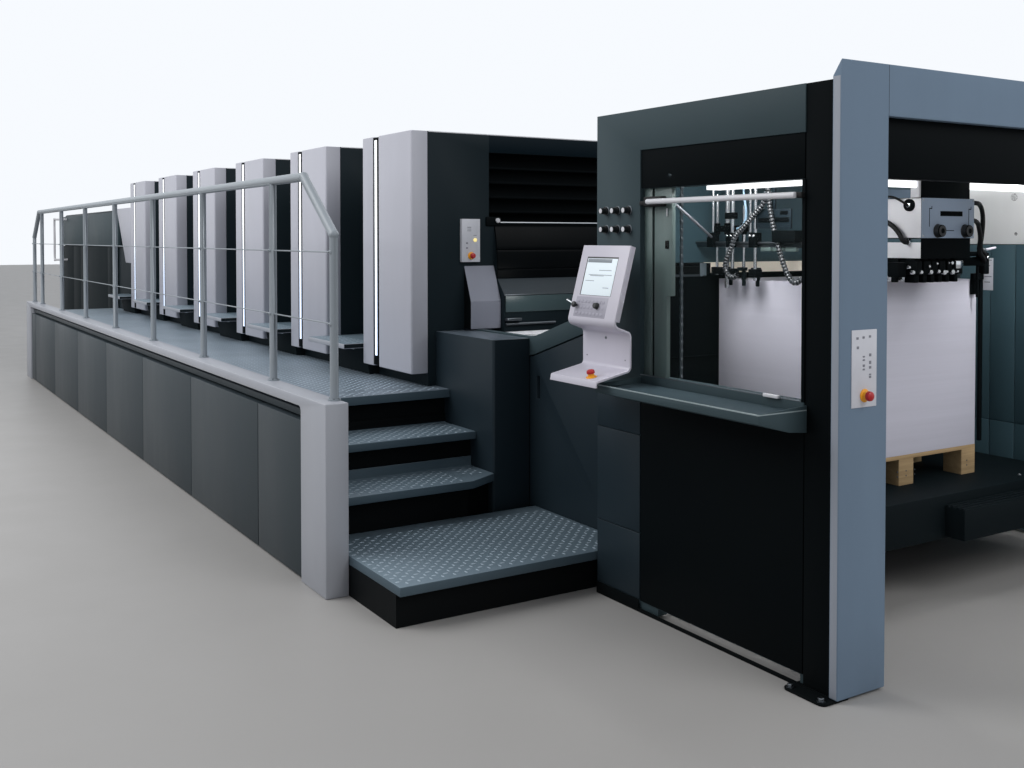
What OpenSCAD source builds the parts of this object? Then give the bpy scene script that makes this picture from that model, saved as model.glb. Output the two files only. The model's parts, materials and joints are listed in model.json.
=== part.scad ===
// Sheet-fed offset printing press with six printing units, a pile feeder, a delivery
// and a raised gallery with stairs along each side. Millimetres, +Z up.
// The press runs along X with the feeder at +X. The operator's side faces -Y.
// The origin is on the floor, under the middle of the whole machine.

/* [Press line] */
// Number of printing units in the line
unit_count = 6; // [2:1:8]
// Distance from one printing unit to the next
unit_pitch = 1244; // [1180:1:1400]
// Length of one printing unit along the press
unit_l = 658; // [600:1:720]
// Height of the units and of the feeder portal above the floor
machine_h = 2169; // [2140:1:2300]
// Width across the doors of the printing units
machine_w = 2880; // [2800:1:3000]
// Length of the feed table bay between feeder and first unit
feed_bay_l = 1526; // [1450:1:1700]
// Length of the cover between the last unit and the delivery
transfer_l = 950; // [850:1:1200]
// Length of the delivery
delivery_l = 3850; // [3600:10:4600]
// Height of the delivery above the floor
delivery_h = 1910; // [1850:1:2060]

/* [Unit housings] */
// Thickness of the light doors on each side of a unit
door_t = 105; // [80:1:130]
// Length of the wide door, the one nearer to the feeder
wide_door_l = 433; // [380:1:450]
// Width of the lit groove between the wide and the narrow door
groove_w = 68; // [50:1:80]
// Depth of the lit groove
groove_depth = 58; // [30:1:70]
// Width of the light bar in the groove
light_bar_w = 22; // [14:1:34]
// Bevel along the upright edges of a door
door_bevel = 9; // [4:1:14]
// Depth of the dark side housing behind a door
side_housing_w = 396; // [340:1:420]
// Height of the dark plinth under a door
door_plinth_h = 72; // [40:1:110]
// Height of the header that ties both side housings at the top
header_h = 105; // [80:1:140]
// How far the lower body stands out of a unit towards the feeder
body_reach = 120; // [100:1:140]
// Depth of the recess under the header
recess_depth = 120; // [80:1:160]
// Height of the ledge on top of the cylinder guard above the floor
ledge_z = 1640; // [1600:1:1680]
// Height of the guard's lower edge above the floor
guard_z = 1337; // [1300:1:1370]
// Height of the sloped band under the guard
guard_band_h = 91; // [70:1:110]
// Height of the glass in front of the feed cylinder
glass_h = 105; // [80:1:120]
// Thickness of the cylinder guard
guard_t = 12; // [8:1:16]
// Radius to which the cylinder guard is bent
guard_bend_r = 800; // [600:1:1400]
// How far the guard's foot leans out of the unit's face
guard_lean = 34; // [10:1:60]
// Width of the cheeks beside the cylinder guard
cheek_w = 35; // [20:1:60]
// Radius of the rod above the guard
guard_rod_r = 11; // [8:1:14]
// Radius of a transfer drum
drum_r = 170; // [150:1:180]
// Height of the drums' axis above the walkway
drum_lift = 138; // [120:1:150]
// How far the light bar's lower end lies above the door's lower edge
light_bar_lift = 64; // [8:1:120]

/* [Gallery] */
// Height of the walkway above the floor
deck_z = 742; // [720:1:770]
// Thickness of the walkway
deck_t = 45; // [30:1:60]
// Height of the toe board above the walkway
toe_h = 110; // [80:1:140]
// Height of the step plates between the units above the walkway
step_lift = 193; // [170:1:220]
// How far a step plate reaches out of the housings' line
step_reach = 229; // [180:1:260]
// Width across both galleries
gallery_w = 4698; // [4600:1:4900]
// Thickness of the gallery's outer frame
frame_t = 109; // [80:1:120]
// Width of the frame's end posts
end_post_w = 301; // [240:1:340]
// Height of the frame's top band
band_h = 48; // [36:1:70]
// Radius in the upper corners of the frame's opening
frame_corner_r = 26; // [10:1:40]
// How far the strip under the band lies behind the frame's face
strip_inset = 40; // [20:1:60]
// How far the skirt panels lie behind the frame's face
skirt_inset = 14; // [8:1:30]
// Gap between two skirt panels
skirt_gap = 8; // [4:1:12]
// How far the gallery's frame reaches past the end of the last unit
gallery_far_reach = 1110; // [1060:1:1200]
// How far the frame reaches from the first unit towards the feeder
gallery_near_reach = 999; // [970:1:1040]
// Height of the handrail's top above the walkway
handrail_h = 1101; // [1050:1:1150]
// Height of the railing's end posts above the walkway
end_rail_h = 841; // [780:1:900]
// Length of the sloped end of the handrail
rail_slope_l = 363; // [300:1:420]
// Radius of the handrail
rail_r = 22; // [18:1:25]
// Radius of the railing's posts
rail_post_r = 19; // [14:1:20]
// Radius of the two thin rods under the handrail
rail_rod_r = 6; // [4:1:9]

/* [Stairs] */
// Height of the first step, the wide podium
podium_h = 177; // [165:1:190]
// Thickness of a tread plate
tread_t = 40; // [25:1:50]
// Going of one tread
going = 281; // [260:1:300]
// How far the podium reaches in front of the second tread
podium_l = 772; // [740:1:790]
// Height of the kick plate at the back of a tread
kick_h = 50; // [20:1:60]
// How far a riser lies behind the front edge of its tread
riser_inset = 60; // [40:1:80]
// Length of the cabinet beside the stairs
cabinet_l = 630; // [600:1:660]
// Height of the cabinet beside the stairs
cabinet_h = 1048; // [1020:1:1080]
// How far the grey box above the cabinet stands out of the unit's face
box_reach = 80; // [60:1:100]
// Height of the grey box above the cabinet
box_h = 359; // [320:1:400]
// Height of the upright part of this box's face
box_face_h = 157; // [120:1:200]
// Width of the control plate on the first unit
unit_plate_w = 118; // [90:1:130]
// Height of the control plate on the first unit
unit_plate_h = 245; // [200:1:280]

/* [Feeder] */
// Length of the feeder along the press
feeder_l = 1366; // [1360:1:1480]
// Width across the feeder
feeder_w = 2572; // [2540:1:2640]
// Thickness of the portal at the feeder's front
portal_t = 38; // [30:1:60]
// Width of a portal post
portal_post_w = 238; // [200:1:250]
// Height of the portal's lintel
lintel_h = 179; // [150:1:200]
// Height of the bevel along the portal's back edge
portal_bevel_h = 55; // [30:1:70]
// How far the top of the side frames lies under the top of the portal
side_drop = 65; // [50:1:90]
// Thickness of a feeder side frame
side_t = 60; // [50:1:80]
// Width of the side frame's far post
side_post_w = 302; // [280:1:320]
// Height of the side frame's top beam
side_beam_h = 167; // [140:1:190]
// Width of the dark strip beside the portal
strip_w = 119; // [100:1:140]
// Height of the window sill above the floor
sill_z = 1000; // [980:1:1020]
// Height of the window
window_h = 776; // [740:1:800]
// Thickness of the panels on the side frames
panel_t = 8; // [5:1:10]
// Depth of the recess that holds these panels
panel_recess = 12; // [11:1:16]
// How far the tray stands out of the feeder
tray_reach = 230; // [200:1:250]
// Thickness of the tray's sheet
tray_t = 6; // [4:1:8]
// Width of the console
console_w = 326; // [300:1:340]
// Thickness of the console's bent sheet
console_t = 9; // [6:1:12]
// Depth of the console's box behind the screen
console_box_t = 20; // [14:1:30]
// Width of the control plate on the portal
portal_plate_w = 125; // [100:1:150]
// Height of the control plate on the portal
portal_plate_h = 264; // [220:1:300]
// Distance between two knobs on the far post
knob_pitch = 79; // [60:1:90]
// How far the drive side's wall reaches past the feeder
drive_wall_reach = 486; // [440:1:500]
// Thickness of the feeder's roof
roof_t = 60; // [40:1:90]

/* [Pile] */
// Length of a sheet along the press
sheet_l = 700; // [560:1:700]
// Width of a sheet across the press
sheet_w = 1000; // [800:1:1020]
// Height of the stack of sheets
stack_h = 792; // [300:1:795]
// Height of the pallet
pallet_h = 137; // [120:1:137]
// Width of a pallet block
pallet_block_w = 100; // [80:1:120]
// Thickness of a pallet board
pallet_board_t = 18; // [14:1:22]
// Thickness of the lifting board
board_t = 190; // [150:1:196]
// Height of the lifting board's top above the floor
board_z = 446; // [440:1:447]
// How far the board's front lies behind the portal's front
board_setback = 516; // [500:1:540]
// Width of the lifting board
board_w = 1900; // [1800:1:1960]
// Length of the ribbed step in front of the board
board_step_l = 100; // [60:1:120]
// Pitch of the hoist chains
chain_pitch = 38; // [30:1:44]
// Number of teeth on a hoist sprocket
sprocket_teeth = 12; // [10:1:16]
// Length of the suction head along the press
head_l = 280; // [240:1:320]
// Width of the suction head's control face
head_face_w = 359; // [320:1:400]
// Height of the suction head's control face
head_face_h = 174; // [150:1:200]
// Height of the box under the control face
head_box_h = 88; // [70:1:110]
// Radius of the hoses to the suction head
hose_r = 11; // [8:1:14]

/* [Delivery] */
// Length of the door at the delivery's end
end_door_l = 909; // [800:1:1000]
// Length of the lighter door beside it
light_door_l = 538; // [480:1:600]
// Length of the narrow door near the gallery
narrow_door_l = 243; // [200:1:300]
// Distance of the narrow door from the delivery's near end
narrow_door_setback = 389; // [340:1:440]
// Length of the cover beside the last unit, at its top
cover_top_l = 700; // [600:1:800]
// Length of the same cover at its lower edge
cover_foot_l = 250; // [200:1:400]

/* [Hidden] */
$fn = 32;
// Gap between pieces that lie beside each other
fit_gap = 0.3;
// Seam between two panels of a cover
seam = 4;

press_l = feeder_l + feed_bay_l + (unit_count - 1) * unit_pitch + unit_l + transfer_l + delivery_l;
front_x = press_l / 2;
feeder_x = front_x - feeder_l;
first_unit_x = feeder_x - feed_bay_l;
last_unit_x = first_unit_x - (unit_count - 1) * unit_pitch - unit_l;
delivery_x = last_unit_x - transfer_l;
end_x = delivery_x - delivery_l;

half_w = machine_w / 2;
side_y = half_w - door_t;
inner_y = side_y - side_housing_w;
header_z = machine_h - header_h;
band_z = guard_z - guard_band_h;
glass_z = band_z - glass_h;
cheek_y = inner_y - cheek_w;
guard_top_x = 6;
glass_t = 8;

feeder_y = feeder_w / 2;
feeder_inner_y = feeder_y - side_t;
portal_x = front_x - portal_t;
portal_foot_t = 10;
strip_x = portal_x - strip_w;
window_x = feeder_x + side_post_w;
window_end_x = strip_x - 13;
window_z = sill_z + window_h;
side_h = machine_h - side_drop;
beam_z = side_h - side_beam_h;
roof_z = side_h - roof_t;
panel_y = feeder_y - panel_recess;
tray_low_z = sill_z - 102;
drive_wall_x = feeder_x - drive_wall_reach;
tray_rim_z = sill_z - 22;
console_x = feeder_x + 60;
lining_end_x = portal_x - 200;
lining_light_z = roof_z - 194;
lining_header_z = lining_light_z - 312;

cover_y = 1059;
cover_t = 40;
cover_band_h = 94;
band_proud = 5;
cover_slope = 0.32;
cover_break_x = first_unit_x + cabinet_l + 24;
cover_flat_z = cabinet_h + 7;
cover_top_z = cover_flat_z + cover_slope * (feeder_x - cover_break_x);
table_x = feeder_x - 120;
base_near_x = table_x - 20;

gallery_y = gallery_w / 2;
frame_inner_y = gallery_y - frame_t;
frame_top_z = deck_z + toe_h;
door_z = deck_z + door_plinth_h;
gallery_near_x = first_unit_x + gallery_near_reach;
gallery_far_x = last_unit_x - gallery_far_reach;
rail_y = gallery_y - 79;

riser_h = (deck_z - podium_h) / 3;
tread_2_z = podium_h + riser_h;
tread_3_z = podium_h + 2 * riser_h;
podium_x = feeder_x - 18;
tread_2_x = podium_x - podium_l;
tread_3_x = tread_2_x - going;
deck_x = tread_3_x - going - 10;
tread_end_y = feeder_y + fit_gap;
tread_chamfer_y = tread_end_y + 176;
tread_chamfer_x = 95;

pile_x = front_x - board_setback - 224;
pile_z = board_z + pallet_h;
pile_top_z = pile_z + stack_h;
board_x = front_x - board_setback;
board_far_x = feeder_x - 90;
chain_x = feeder_x + 194;
lug_t = 10;
chain_pin_r = 9;
chain_plate_t = 4;
chain_half_w = 8;
chain_y = board_w / 2 + lug_t + fit_gap + chain_half_w;
sprocket_r = chain_pitch / 2 / sin(180 / sprocket_teeth);
hoist_z = roof_z - sprocket_r - 24;
head_x = board_x;
head_z = pile_top_z + 107;
head_face_z = head_z + head_box_h;
head_top_z = head_face_z + head_face_h;
head_y = 0.44 * head_face_w;
head_beam_z = roof_z - 110;
guide_z = pile_top_z + 105;
rear_guide_y = sheet_w / 2 + 22;
rods_x = pile_x - sheet_l + 105;
rods_y = sheet_w / 2 + 45;

head_at = [head_x, head_y + fit_gap, head_z];
head_side_at = [head_x, head_y - head_face_w - fit_gap, head_z];
clamp_at = [pile_x, sheet_w / 2, guide_z + fit_gap];
clamp_side_at = [pile_x, -sheet_w / 2 - fit_gap, guide_z];
rods_at = [rods_x + fit_gap, -rods_y - fit_gap, pile_top_z];
hose_routes = [
  concat([for (p = [[-29, 0, 246], [-29, 67, 246], [-69, 172, 223], [-107, 242, 186]]) head_at + p],
         [for (p = [[88, -60, 134], [61, -10, 81], [45, 30, 52], [45, 30, 30]]) clamp_at + p]),
  concat([for (p = [[-29, 0, 168], [-29, 20, 168], [-53, 82, 158], [-93, 162, 126]]) head_at + p],
         [for (p = [[91, -110, 92], [47, -50, 65], [23, 6, 50], [23, 6, 30]]) clamp_at + p]),
  roof_route(head_side_at, [[-349, -129, 418], [-319, -107, 288], [-249, -71, 208], [-169, -49, 170],
    [-119, -39, 143], [-87, -33, 108], [-69, -24, 74], [-69, 10, 74]]),
  roof_route(rods_at, [[305, -55, 485], [282, -55, 366], [230, -55, 290], [170, -53, 225], [117, -49, 164],
    [76, -43, 105], [64, -23, 61], [46, -7, 42], [24, -7, 42]]),
  roof_route(clamp_side_at, [[-270, -125, 380], [-257, -122, 268], [-213, -122, 148], [-170, -121, 40],
    [-133, -118, -60], [-109, -112, -100], [-79, -104, -112], [-40, -98, -100], [-8, -94, -70],
    [20, -86, -50], [30, -70, -44], [30, -50, -44]])];
cable_routes = [
  roof_route(head_side_at, [[-269, -43, 478], [-264, -43, 418], [-229, -41, 318], [-169, -37, 274],
    [-116, -31, 265], [-79, -25, 246], [-58, -14, 231], [-58, 0, 231]]),
  roof_route(rods_at, [[162, -59, 485], [174, -59, 379], [184, -58, 315], [170, -55, 265],
    [135, -51, 243], [112, -44, 239], [112, -18, 239]])];

function unit_x(i) = first_unit_x - i * unit_pitch;

// Points along an arc about a centre, from one angle to another
function arc(centre, r, from, to, steps) =
  [for (k = [0:steps]) centre + r * [cos(from + (to - from) * k / steps), sin(from + (to - from) * k / steps)]];

// Centre of the arc of radius r from a to b that bulges to the right of that way
function arc_centre(a, b, r) =
  let (way = (b - a) / norm(b - a), half = norm(b - a) / 2)
  (a + b) / 2 - [way[1], -way[0]] * sqrt(r * r - half * half);

// Arc of a unit's cylinder guard at radius r, between two heights
function guard_arc(x, r, z0, z1) =
  let (centre = [x, 0] + arc_centre([guard_lean, guard_z], [guard_top_x, ledge_z], guard_bend_r))
  arc(centre, r, asin((z0 - centre[1]) / guard_bend_r), asin((z1 - centre[1]) / guard_bend_r), 8);

// The same points, from the last to the first
function backwards(points) = [for (k = [len(points) - 1:-1:0]) points[k]];

// A path moved sideways to its left by t
function beside(path, t) =
  [for (k = [0:len(path) - 1])
    let (a = path[max(k - 1, 0)], b = path[min(k + 1, len(path) - 1)], way = (b - a) / norm(b - a))
    path[k] + t * [-way[1], way[0]]];

// Points seen from one place, with a point under the feeder's roof before them
function roof_route(place, points) =
  concat([[place[0] + points[0][0], place[1] + points[0][1], roof_z - fit_gap]], [for (p = points) place + p]);

// Direction of the stretch of a route from point k to the next one
function way_from(points, k) = (points[k + 1] - points[k]) / norm(points[k + 1] - points[k]);

// Normal of the mitre at point k of a route
function mitre(points, k) =
  k == len(points) - 1 ? way_from(points, k - 1) : way_from(points, k - 1) + way_from(points, k);

// Ring of corners around the first point of a route
function first_ring(points, r, sides) =
  let (way = way_from(points, 0), out = cross(way, abs(way[2]) > 0.9 ? [0, 1, 0] : [0, 0, 1]),
       a = out / norm(out), b = cross(way, a))
  [for (j = [0:sides - 1]) points[0] + r * (a * cos(360 * j / sides) + b * sin(360 * j / sides))];

// The ring before point k, moved along the route to the mitre at point k
function next_ring(ring, points, k) =
  let (way = way_from(points, k - 1), normal = mitre(points, k))
  [for (corner = ring) corner + way * (((points[k] - corner) * normal) / (way * normal))];

// Box from its lowest corner to its highest corner
module block(low, high) {
  translate(low) cube(high - low);
}

// Outline in X and Z, drawn out along Y from y0 to y1
module across(y0, y1) {
  translate([0, y1, 0]) rotate([90, 0, 0]) linear_extrude(y1 - y0) children();
}

// Outline in Y and Z, drawn out along X from x0 to x1
module along(x0, x1) {
  translate([x0, 0, 0]) rotate([90, 0, 90]) linear_extrude(x1 - x0) children();
}

// Round bar between two points
module bar(p, q, r) {
  d = q - p;
  length = norm(d);
  translate(p) rotate([0, acos(d[2] / length), atan2(d[1], d[0])]) cylinder(r = r, h = length, $fn = 16);
}

// Flat rectangle from one corner to the other
module pane(low, high) {
  translate(low) square(high - low);
}

// Flat rectangle with round corners
module round_pane(low, high, r) {
  pane(low + [r, 0], high - [r, 0]);
  pane(low + [0, r], high - [0, r]);
  for (x = [low[0] + r, high[0] - r], y = [low[1] + r, high[1] - r])
    translate([x, y]) circle(r = r);
}

// The same shape on both sides of the press
module both_sides() {
  children();
  mirror([0, 1, 0]) children();
}

module machine_base() {
  color("#14171a")
  linear_extrude(deck_z) polygon([
    [delivery_x, -side_y], [first_unit_x, -side_y], [first_unit_x, -cover_y + cover_t],
    [base_near_x, -cover_y + cover_t], [base_near_x, cover_y - cover_t],
    [first_unit_x, cover_y - cover_t], [first_unit_x, side_y], [delivery_x, side_y]]);
}

// Dark housing of one unit: two side housings, the body between them with its
// recess and ledges, and the backs of the lit grooves
module printing_unit(i) {
  x1 = unit_x(i);
  x0 = x1 - unit_l;
  recess_x = x1 - recess_depth;
  ledge_count = 4;
  ledge_step = (header_z - ledge_z) / (ledge_count + 1);
  color("#22282c")
  union() {
    both_sides() {
      block([x0, -side_y, deck_z], [x1, -inner_y, machine_h]);
      block([x0, -inner_y - 1, deck_z], [x1, -cheek_y, ledge_z]);
      block([x1 - wide_door_l - groove_w, -half_w + groove_depth, door_z],
            [x1 - wide_door_l, -side_y, machine_h]);
    }
    across(-cheek_y, cheek_y) polygon(concat([
      [x0, deck_z], [x1 + body_reach - glass_t, deck_z], [x1 + body_reach - glass_t, band_z],
      [x1 + guard_lean, guard_z]], guard_arc(x1, guard_bend_r - guard_t - fit_gap, guard_z, ledge_z), [
      [recess_x, ledge_z], [x0 + recess_depth / 2, ledge_z],
      [x0 + recess_depth / 2, ledge_z - guard_band_h], [x0, guard_z]]));
    across(-inner_y, inner_y) polygon([
      [recess_x, ledge_z - 1], [recess_x, header_z], [x1, header_z], [x1, machine_h],
      [x0, machine_h], [x0, header_z], [x0 + recess_depth / 2, header_z],
      [x0 + recess_depth / 2, ledge_z - 1]]);
    for (k = [1:ledge_count])
      block([recess_x - 1, -inner_y, ledge_z + k * ledge_step - 6],
            [recess_x + recess_depth * 0.6, inner_y, ledge_z + k * ledge_step + 6]);
  }
}

// Door with bevelled upright edges, seen from above
module door(x0, x1) {
  translate([0, 0, door_z]) linear_extrude(machine_h - door_z) polygon([
    [x0, -side_y], [x0, -half_w + door_bevel], [x0 + door_bevel, -half_w],
    [x1 - door_bevel, -half_w], [x1, -half_w + door_bevel], [x1, -side_y]]);
}

module unit_doors() {
  color("#c9ccd6")
  both_sides() for (i = [0:unit_count - 1]) {
    door(unit_x(i) - wide_door_l, unit_x(i));
    door(unit_x(i) - unit_l, unit_x(i) - wide_door_l - groove_w);
  }
}

module light_bars() {
  bar_x = wide_door_l + groove_w * 0.32;
  color("#eaf4ff")
  both_sides() for (i = [0:unit_count - 1])
    block([unit_x(i) - bar_x - light_bar_w, -half_w + groove_depth - 16, door_z + light_bar_lift],
          [unit_x(i) - bar_x, -half_w + groove_depth, machine_h - light_bar_w]);
}

// One bent strip of a unit's cylinder guard between two heights
module guard_strip(x, z0, z1) {
  polygon(concat(guard_arc(x, guard_bend_r, z0, z1),
                 backwards(guard_arc(x, guard_bend_r - guard_t, z0, z1))));
}

module cylinder_guards() {
  lower_seam_z = guard_z + 56;
  upper_seam_z = guard_z + 169;
  color("#15191c")
  for (i = [0:unit_count - 1])
    across(-cheek_y + fit_gap, cheek_y - fit_gap) {
      guard_strip(unit_x(i), guard_z, lower_seam_z - seam);
      guard_strip(unit_x(i), lower_seam_z, upper_seam_z - seam);
      guard_strip(unit_x(i), upper_seam_z, ledge_z);
    }
}

module guard_glass() {
  color("#7fa0a0", 0.5)
  for (i = [0:unit_count - 1])
    block([unit_x(i) + body_reach - glass_t, -cheek_y + fit_gap, glass_z],
          [unit_x(i) + body_reach, cheek_y - fit_gap, band_z]);
}

module guard_rods() {
  rod_x = -26;
  rod_z = ledge_z + guard_rod_r + 10;
  color("#b9bdc2")
  for (i = [0:unit_count - 1]) translate([unit_x(i), 0, 0]) union() {
    bar([rod_x, -inner_y + fit_gap, rod_z], [rod_x, inner_y - fit_gap, rod_z], guard_rod_r);
    both_sides() {
      block([rod_x - 14, -inner_y + 1, ledge_z], [rod_x + 30, -inner_y + 75, rod_z + 22]);
      bar([rod_x, -inner_y + 58, rod_z], [rod_x + 48, -inner_y + 58, rod_z + 4], guard_rod_r + 3);
    }
  }
}

// Drum with its gripper gap, its shaft ending in the walls beside it
module drum(half_l, wall_y) {
  gap_w = drum_r * 0.28;
  union() {
    difference() {
      rotate([90, 0, 0]) cylinder(r = drum_r, h = 2 * half_l, center = true, $fn = 64);
      rotate([0, -35, 0]) translate([-gap_w / 2, -half_l - 1, drum_r * 0.86])
        cube([gap_w, 2 * half_l + 2, drum_r]);
    }
    rotate([90, 0, 0]) cylinder(r = drum_r / 4, h = 2 * wall_y, center = true);
  }
}

module transfer_drums() {
  drum_x = body_reach + 1 + drum_r;
  first_wall_y = cover_y - cover_t - fit_gap;
  color("#b9bdc2")
  intersection() {
    union() {
      translate([first_unit_x + drum_x, 0, deck_z + drum_lift]) drum(first_wall_y - 10, first_wall_y);
      for (i = [1:unit_count - 1])
        translate([unit_x(i) + drum_x, 0, deck_z + drum_lift]) drum(inner_y - 12, inner_y - fit_gap);
    }
    block([end_x, -half_w, deck_z], [front_x, half_w, machine_h]);
  }
}

// Step plate on its bracket, with its inner part down to the base
module step_plate(x0, x1, inner) {
  top_z = deck_z + step_lift;
  along(x0 + fit_gap, x1 - fit_gap) polygon([
    [-side_y, deck_z], [-side_y - 60, deck_z], [-side_y - 90, top_z - 30],
    [-side_y - step_reach, top_z - 30], [-side_y - step_reach, top_z], [-inner, top_z], [-inner, deck_z]]);
}

module step_plates() {
  color("#5c6a74")
  both_sides() {
    for (i = [1:unit_count - 1])
      step_plate(unit_x(i), unit_x(i - 1) - unit_l, inner_y);
    step_plate(last_unit_x - unit_pitch + unit_l, last_unit_x, side_y);
  }
}

module gallery_frame() {
  low = gallery_far_x + end_post_w;
  high = gallery_near_x - end_post_w;
  top = frame_top_z - band_h;
  color("#b8bfc9")
  across(-gallery_y, -frame_inner_y) difference() {
    pane([gallery_far_x, 0], [gallery_near_x, frame_top_z]);
    pane([low, -1], [high, top - frame_corner_r]);
    pane([low + frame_corner_r, 0], [high - frame_corner_r, top]);
    for (x = [low + frame_corner_r, high - frame_corner_r])
      translate([x, top - frame_corner_r]) circle(r = frame_corner_r);
  }
}

// Panels between the end posts, split where the units repeat, the strip above
// them and the plate that closes the gallery's far end
module skirt_panels() {
  low = gallery_far_x + end_post_w;
  high = gallery_near_x - end_post_w;
  seams = concat([high], [for (k = [0:unit_count]) first_unit_x + 59 - k * unit_pitch], [low]);
  strip_z = deck_z + 3;
  color("#3c4650")
  both_sides() {
    for (k = [0:len(seams) - 2])
      block([seams[k + 1] + skirt_gap / 2, -gallery_y + skirt_inset, 8],
            [seams[k] - skirt_gap / 2, -frame_inner_y, strip_z - 10]);
    block([low, -gallery_y + strip_inset, strip_z], [high, -frame_inner_y, frame_top_z - band_h - frame_corner_r]);
    block([gallery_far_x, -frame_inner_y + fit_gap, 0], [gallery_far_x + 20, -side_y - fit_gap, deck_z - deck_t]);
  }
}

module walkways() {
  near_y = feeder_y + fit_gap;
  color("#2f3538")
  both_sides() translate([0, 0, deck_z - deck_t]) linear_extrude(deck_t) polygon([
    [gallery_far_x, -frame_inner_y], [deck_x, -frame_inner_y], [deck_x, -near_y],
    [first_unit_x + fit_gap, -near_y], [first_unit_x + fit_gap, -side_y], [gallery_far_x, -side_y]]);
}

module railing() {
  top_z = deck_z + handrail_h - rail_r;
  end_z = deck_z + end_rail_h - rail_r;
  near_x = gallery_near_x - 90;
  far_x = gallery_far_x + 90;
  bend_near_x = near_x - rail_slope_l;
  bend_far_x = far_x + rail_slope_l;
  inner_posts = [for (i = [0:unit_count]) first_unit_x + 114 - i * unit_pitch];
  rod_heights = [deck_z + toe_h + 278, deck_z + toe_h + 530];
  color("#c3c8d0")
  translate([0, -rail_y, 0]) union() {
    for (x = [near_x, far_x])
      bar([x, 0, frame_top_z], [x, 0, end_z], rail_post_r);
    for (x = inner_posts)
      bar([x, 0, frame_top_z], [x, 0, top_z], rail_post_r);
    for (x = concat([near_x, far_x], inner_posts))
      translate([x, 0, frame_top_z]) cylinder(r = rail_post_r + 10, h = 8, $fn = 24);
    bar([bend_far_x, 0, top_z], [bend_near_x, 0, top_z], rail_r);
    bar([bend_near_x, 0, top_z], [near_x, 0, end_z], rail_r);
    bar([far_x, 0, end_z], [bend_far_x, 0, top_z], rail_r);
    for (p = [[bend_far_x, 0, top_z], [bend_near_x, 0, top_z], [near_x, 0, end_z], [far_x, 0, end_z]])
      translate(p) sphere(r = rail_r + 1.5);
    for (z = rod_heights)
      bar([far_x, 0, z], [near_x, 0, z], rail_rod_r);
  }
}

// Podium in front of the stairs, shorter where the drive side's wall stands
module podium(far_end) {
  block([tread_2_x - riser_inset, -frame_inner_y, podium_h - tread_t], [far_end, -cover_y, podium_h]);
}

module podiums() {
  color("#6b7c88") {
    podium(podium_x);
    mirror([0, 1, 0]) podium(drive_wall_x - 20);
  }
}

// Plan of the second tread, its inner corner cut at a slant beside the cabinet
module tread_2_plan(back_x, front) {
  polygon([[back_x, -frame_inner_y], [front, -frame_inner_y], [front, -tread_chamfer_y],
           [front - tread_chamfer_x, -tread_end_y], [back_x, -tread_end_y]]);
}

// Side view of a tread with the kick plate along its back
module tread_profile(back_x, front, z) {
  polygon([[back_x, z - tread_t], [front, z - tread_t], [front, z], [back_x + 10, z],
           [back_x + 10, z + kick_h], [back_x, z + kick_h]]);
}

module stair_treads() {
  color("#6b7c88")
  both_sides() {
    intersection() {
      linear_extrude(deck_z) tread_2_plan(tread_3_x - riser_inset, tread_2_x);
      across(-frame_inner_y, -feeder_y) tread_profile(tread_3_x - riser_inset, tread_2_x, tread_2_z);
    }
    across(-frame_inner_y, -tread_end_y) tread_profile(deck_x - riser_inset, tread_3_x, tread_3_z);
  }
}

// Dark box under the steps of one side, from the walkway to the podium's far end
module risers(far_end) {
  back_x = deck_x - riser_inset - 100;
  union() {
    block([back_x, -frame_inner_y + 1, 0], [tread_2_x - riser_inset, -tread_end_y, podium_h - tread_t]);
    block([tread_2_x - riser_inset, -frame_inner_y + 1, 0], [far_end - 40, -cover_y - 40, podium_h - tread_t]);
    linear_extrude(tread_2_z - tread_t) tread_2_plan(back_x, tread_2_x - riser_inset - 1);
    block([back_x, -frame_inner_y + 1, 0], [tread_3_x - riser_inset - 1, -tread_end_y, tread_3_z - tread_t]);
    block([back_x, -frame_inner_y + 1, 0], [deck_x - riser_inset - 1, -tread_end_y, deck_z - deck_t]);
  }
}

module stair_risers() {
  color("#101214") {
    risers(podium_x);
    mirror([0, 1, 0]) risers(drive_wall_x - 20);
  }
}

module feeder_portal() {
  color("#6d7b88")
  intersection() {
    along(portal_x, front_x) difference() {
      pane([-feeder_y, portal_foot_t], [feeder_y, machine_h]);
      pane([-feeder_y + portal_post_w, 0], [feeder_y - portal_post_w, machine_h - lintel_h]);
    }
    across(-feeder_y, feeder_y) polygon([
      [portal_x, 0], [front_x, 0], [front_x, machine_h], [portal_x, machine_h - portal_bevel_h]]);
  }
}

// Rounded plates under the portal's posts
module portal_feet() {
  color("#0d0f11")
  both_sides() linear_extrude(portal_foot_t)
    round_pane([strip_x - 38, -feeder_y - 60], [front_x - 8, -feeder_inner_y + 20], 22);
}

// Plate of a feeder's side with the recess for its panels, and the return at its
// far end that meets the feed table's side cover
module feeder_side_frame(near_x, has_window) {
  leg_gap_h = 42;
  frame_low_z = 12;
  panel_low_z = has_window ? window_z : sill_z - 62;
  return_y = has_window ? cover_y - cover_t : cover_y + band_proud + fit_gap;
  color("#5f7078")
  union() {
    difference() {
      across(-feeder_y, -feeder_inner_y) difference() {
        pane([near_x, frame_low_z], [portal_x, side_h]);
        pane([window_x + 110, 0], [strip_x - 20, leg_gap_h]);
        if (has_window)
          pane([window_x, sill_z], [window_end_x, window_z]);
      }
      across(-feeder_y - 1, -panel_y) {
        pane([near_x - 1, 0], [portal_x + 1, tray_low_z + 42]);
        pane([window_x, panel_low_z], [strip_x + 1, beam_z]);
        pane([strip_x, 0], [portal_x + 1, side_h + 1]);
      }
    }
    block([near_x, -feeder_inner_y - 1, 0], [near_x + 20, -return_y, roof_z]);
  }
}

module feeder_roof() {
  color("#6d7b88")
  block([feeder_x, -feeder_inner_y, roof_z], [portal_x, feeder_inner_y, side_h]);
}

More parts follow.
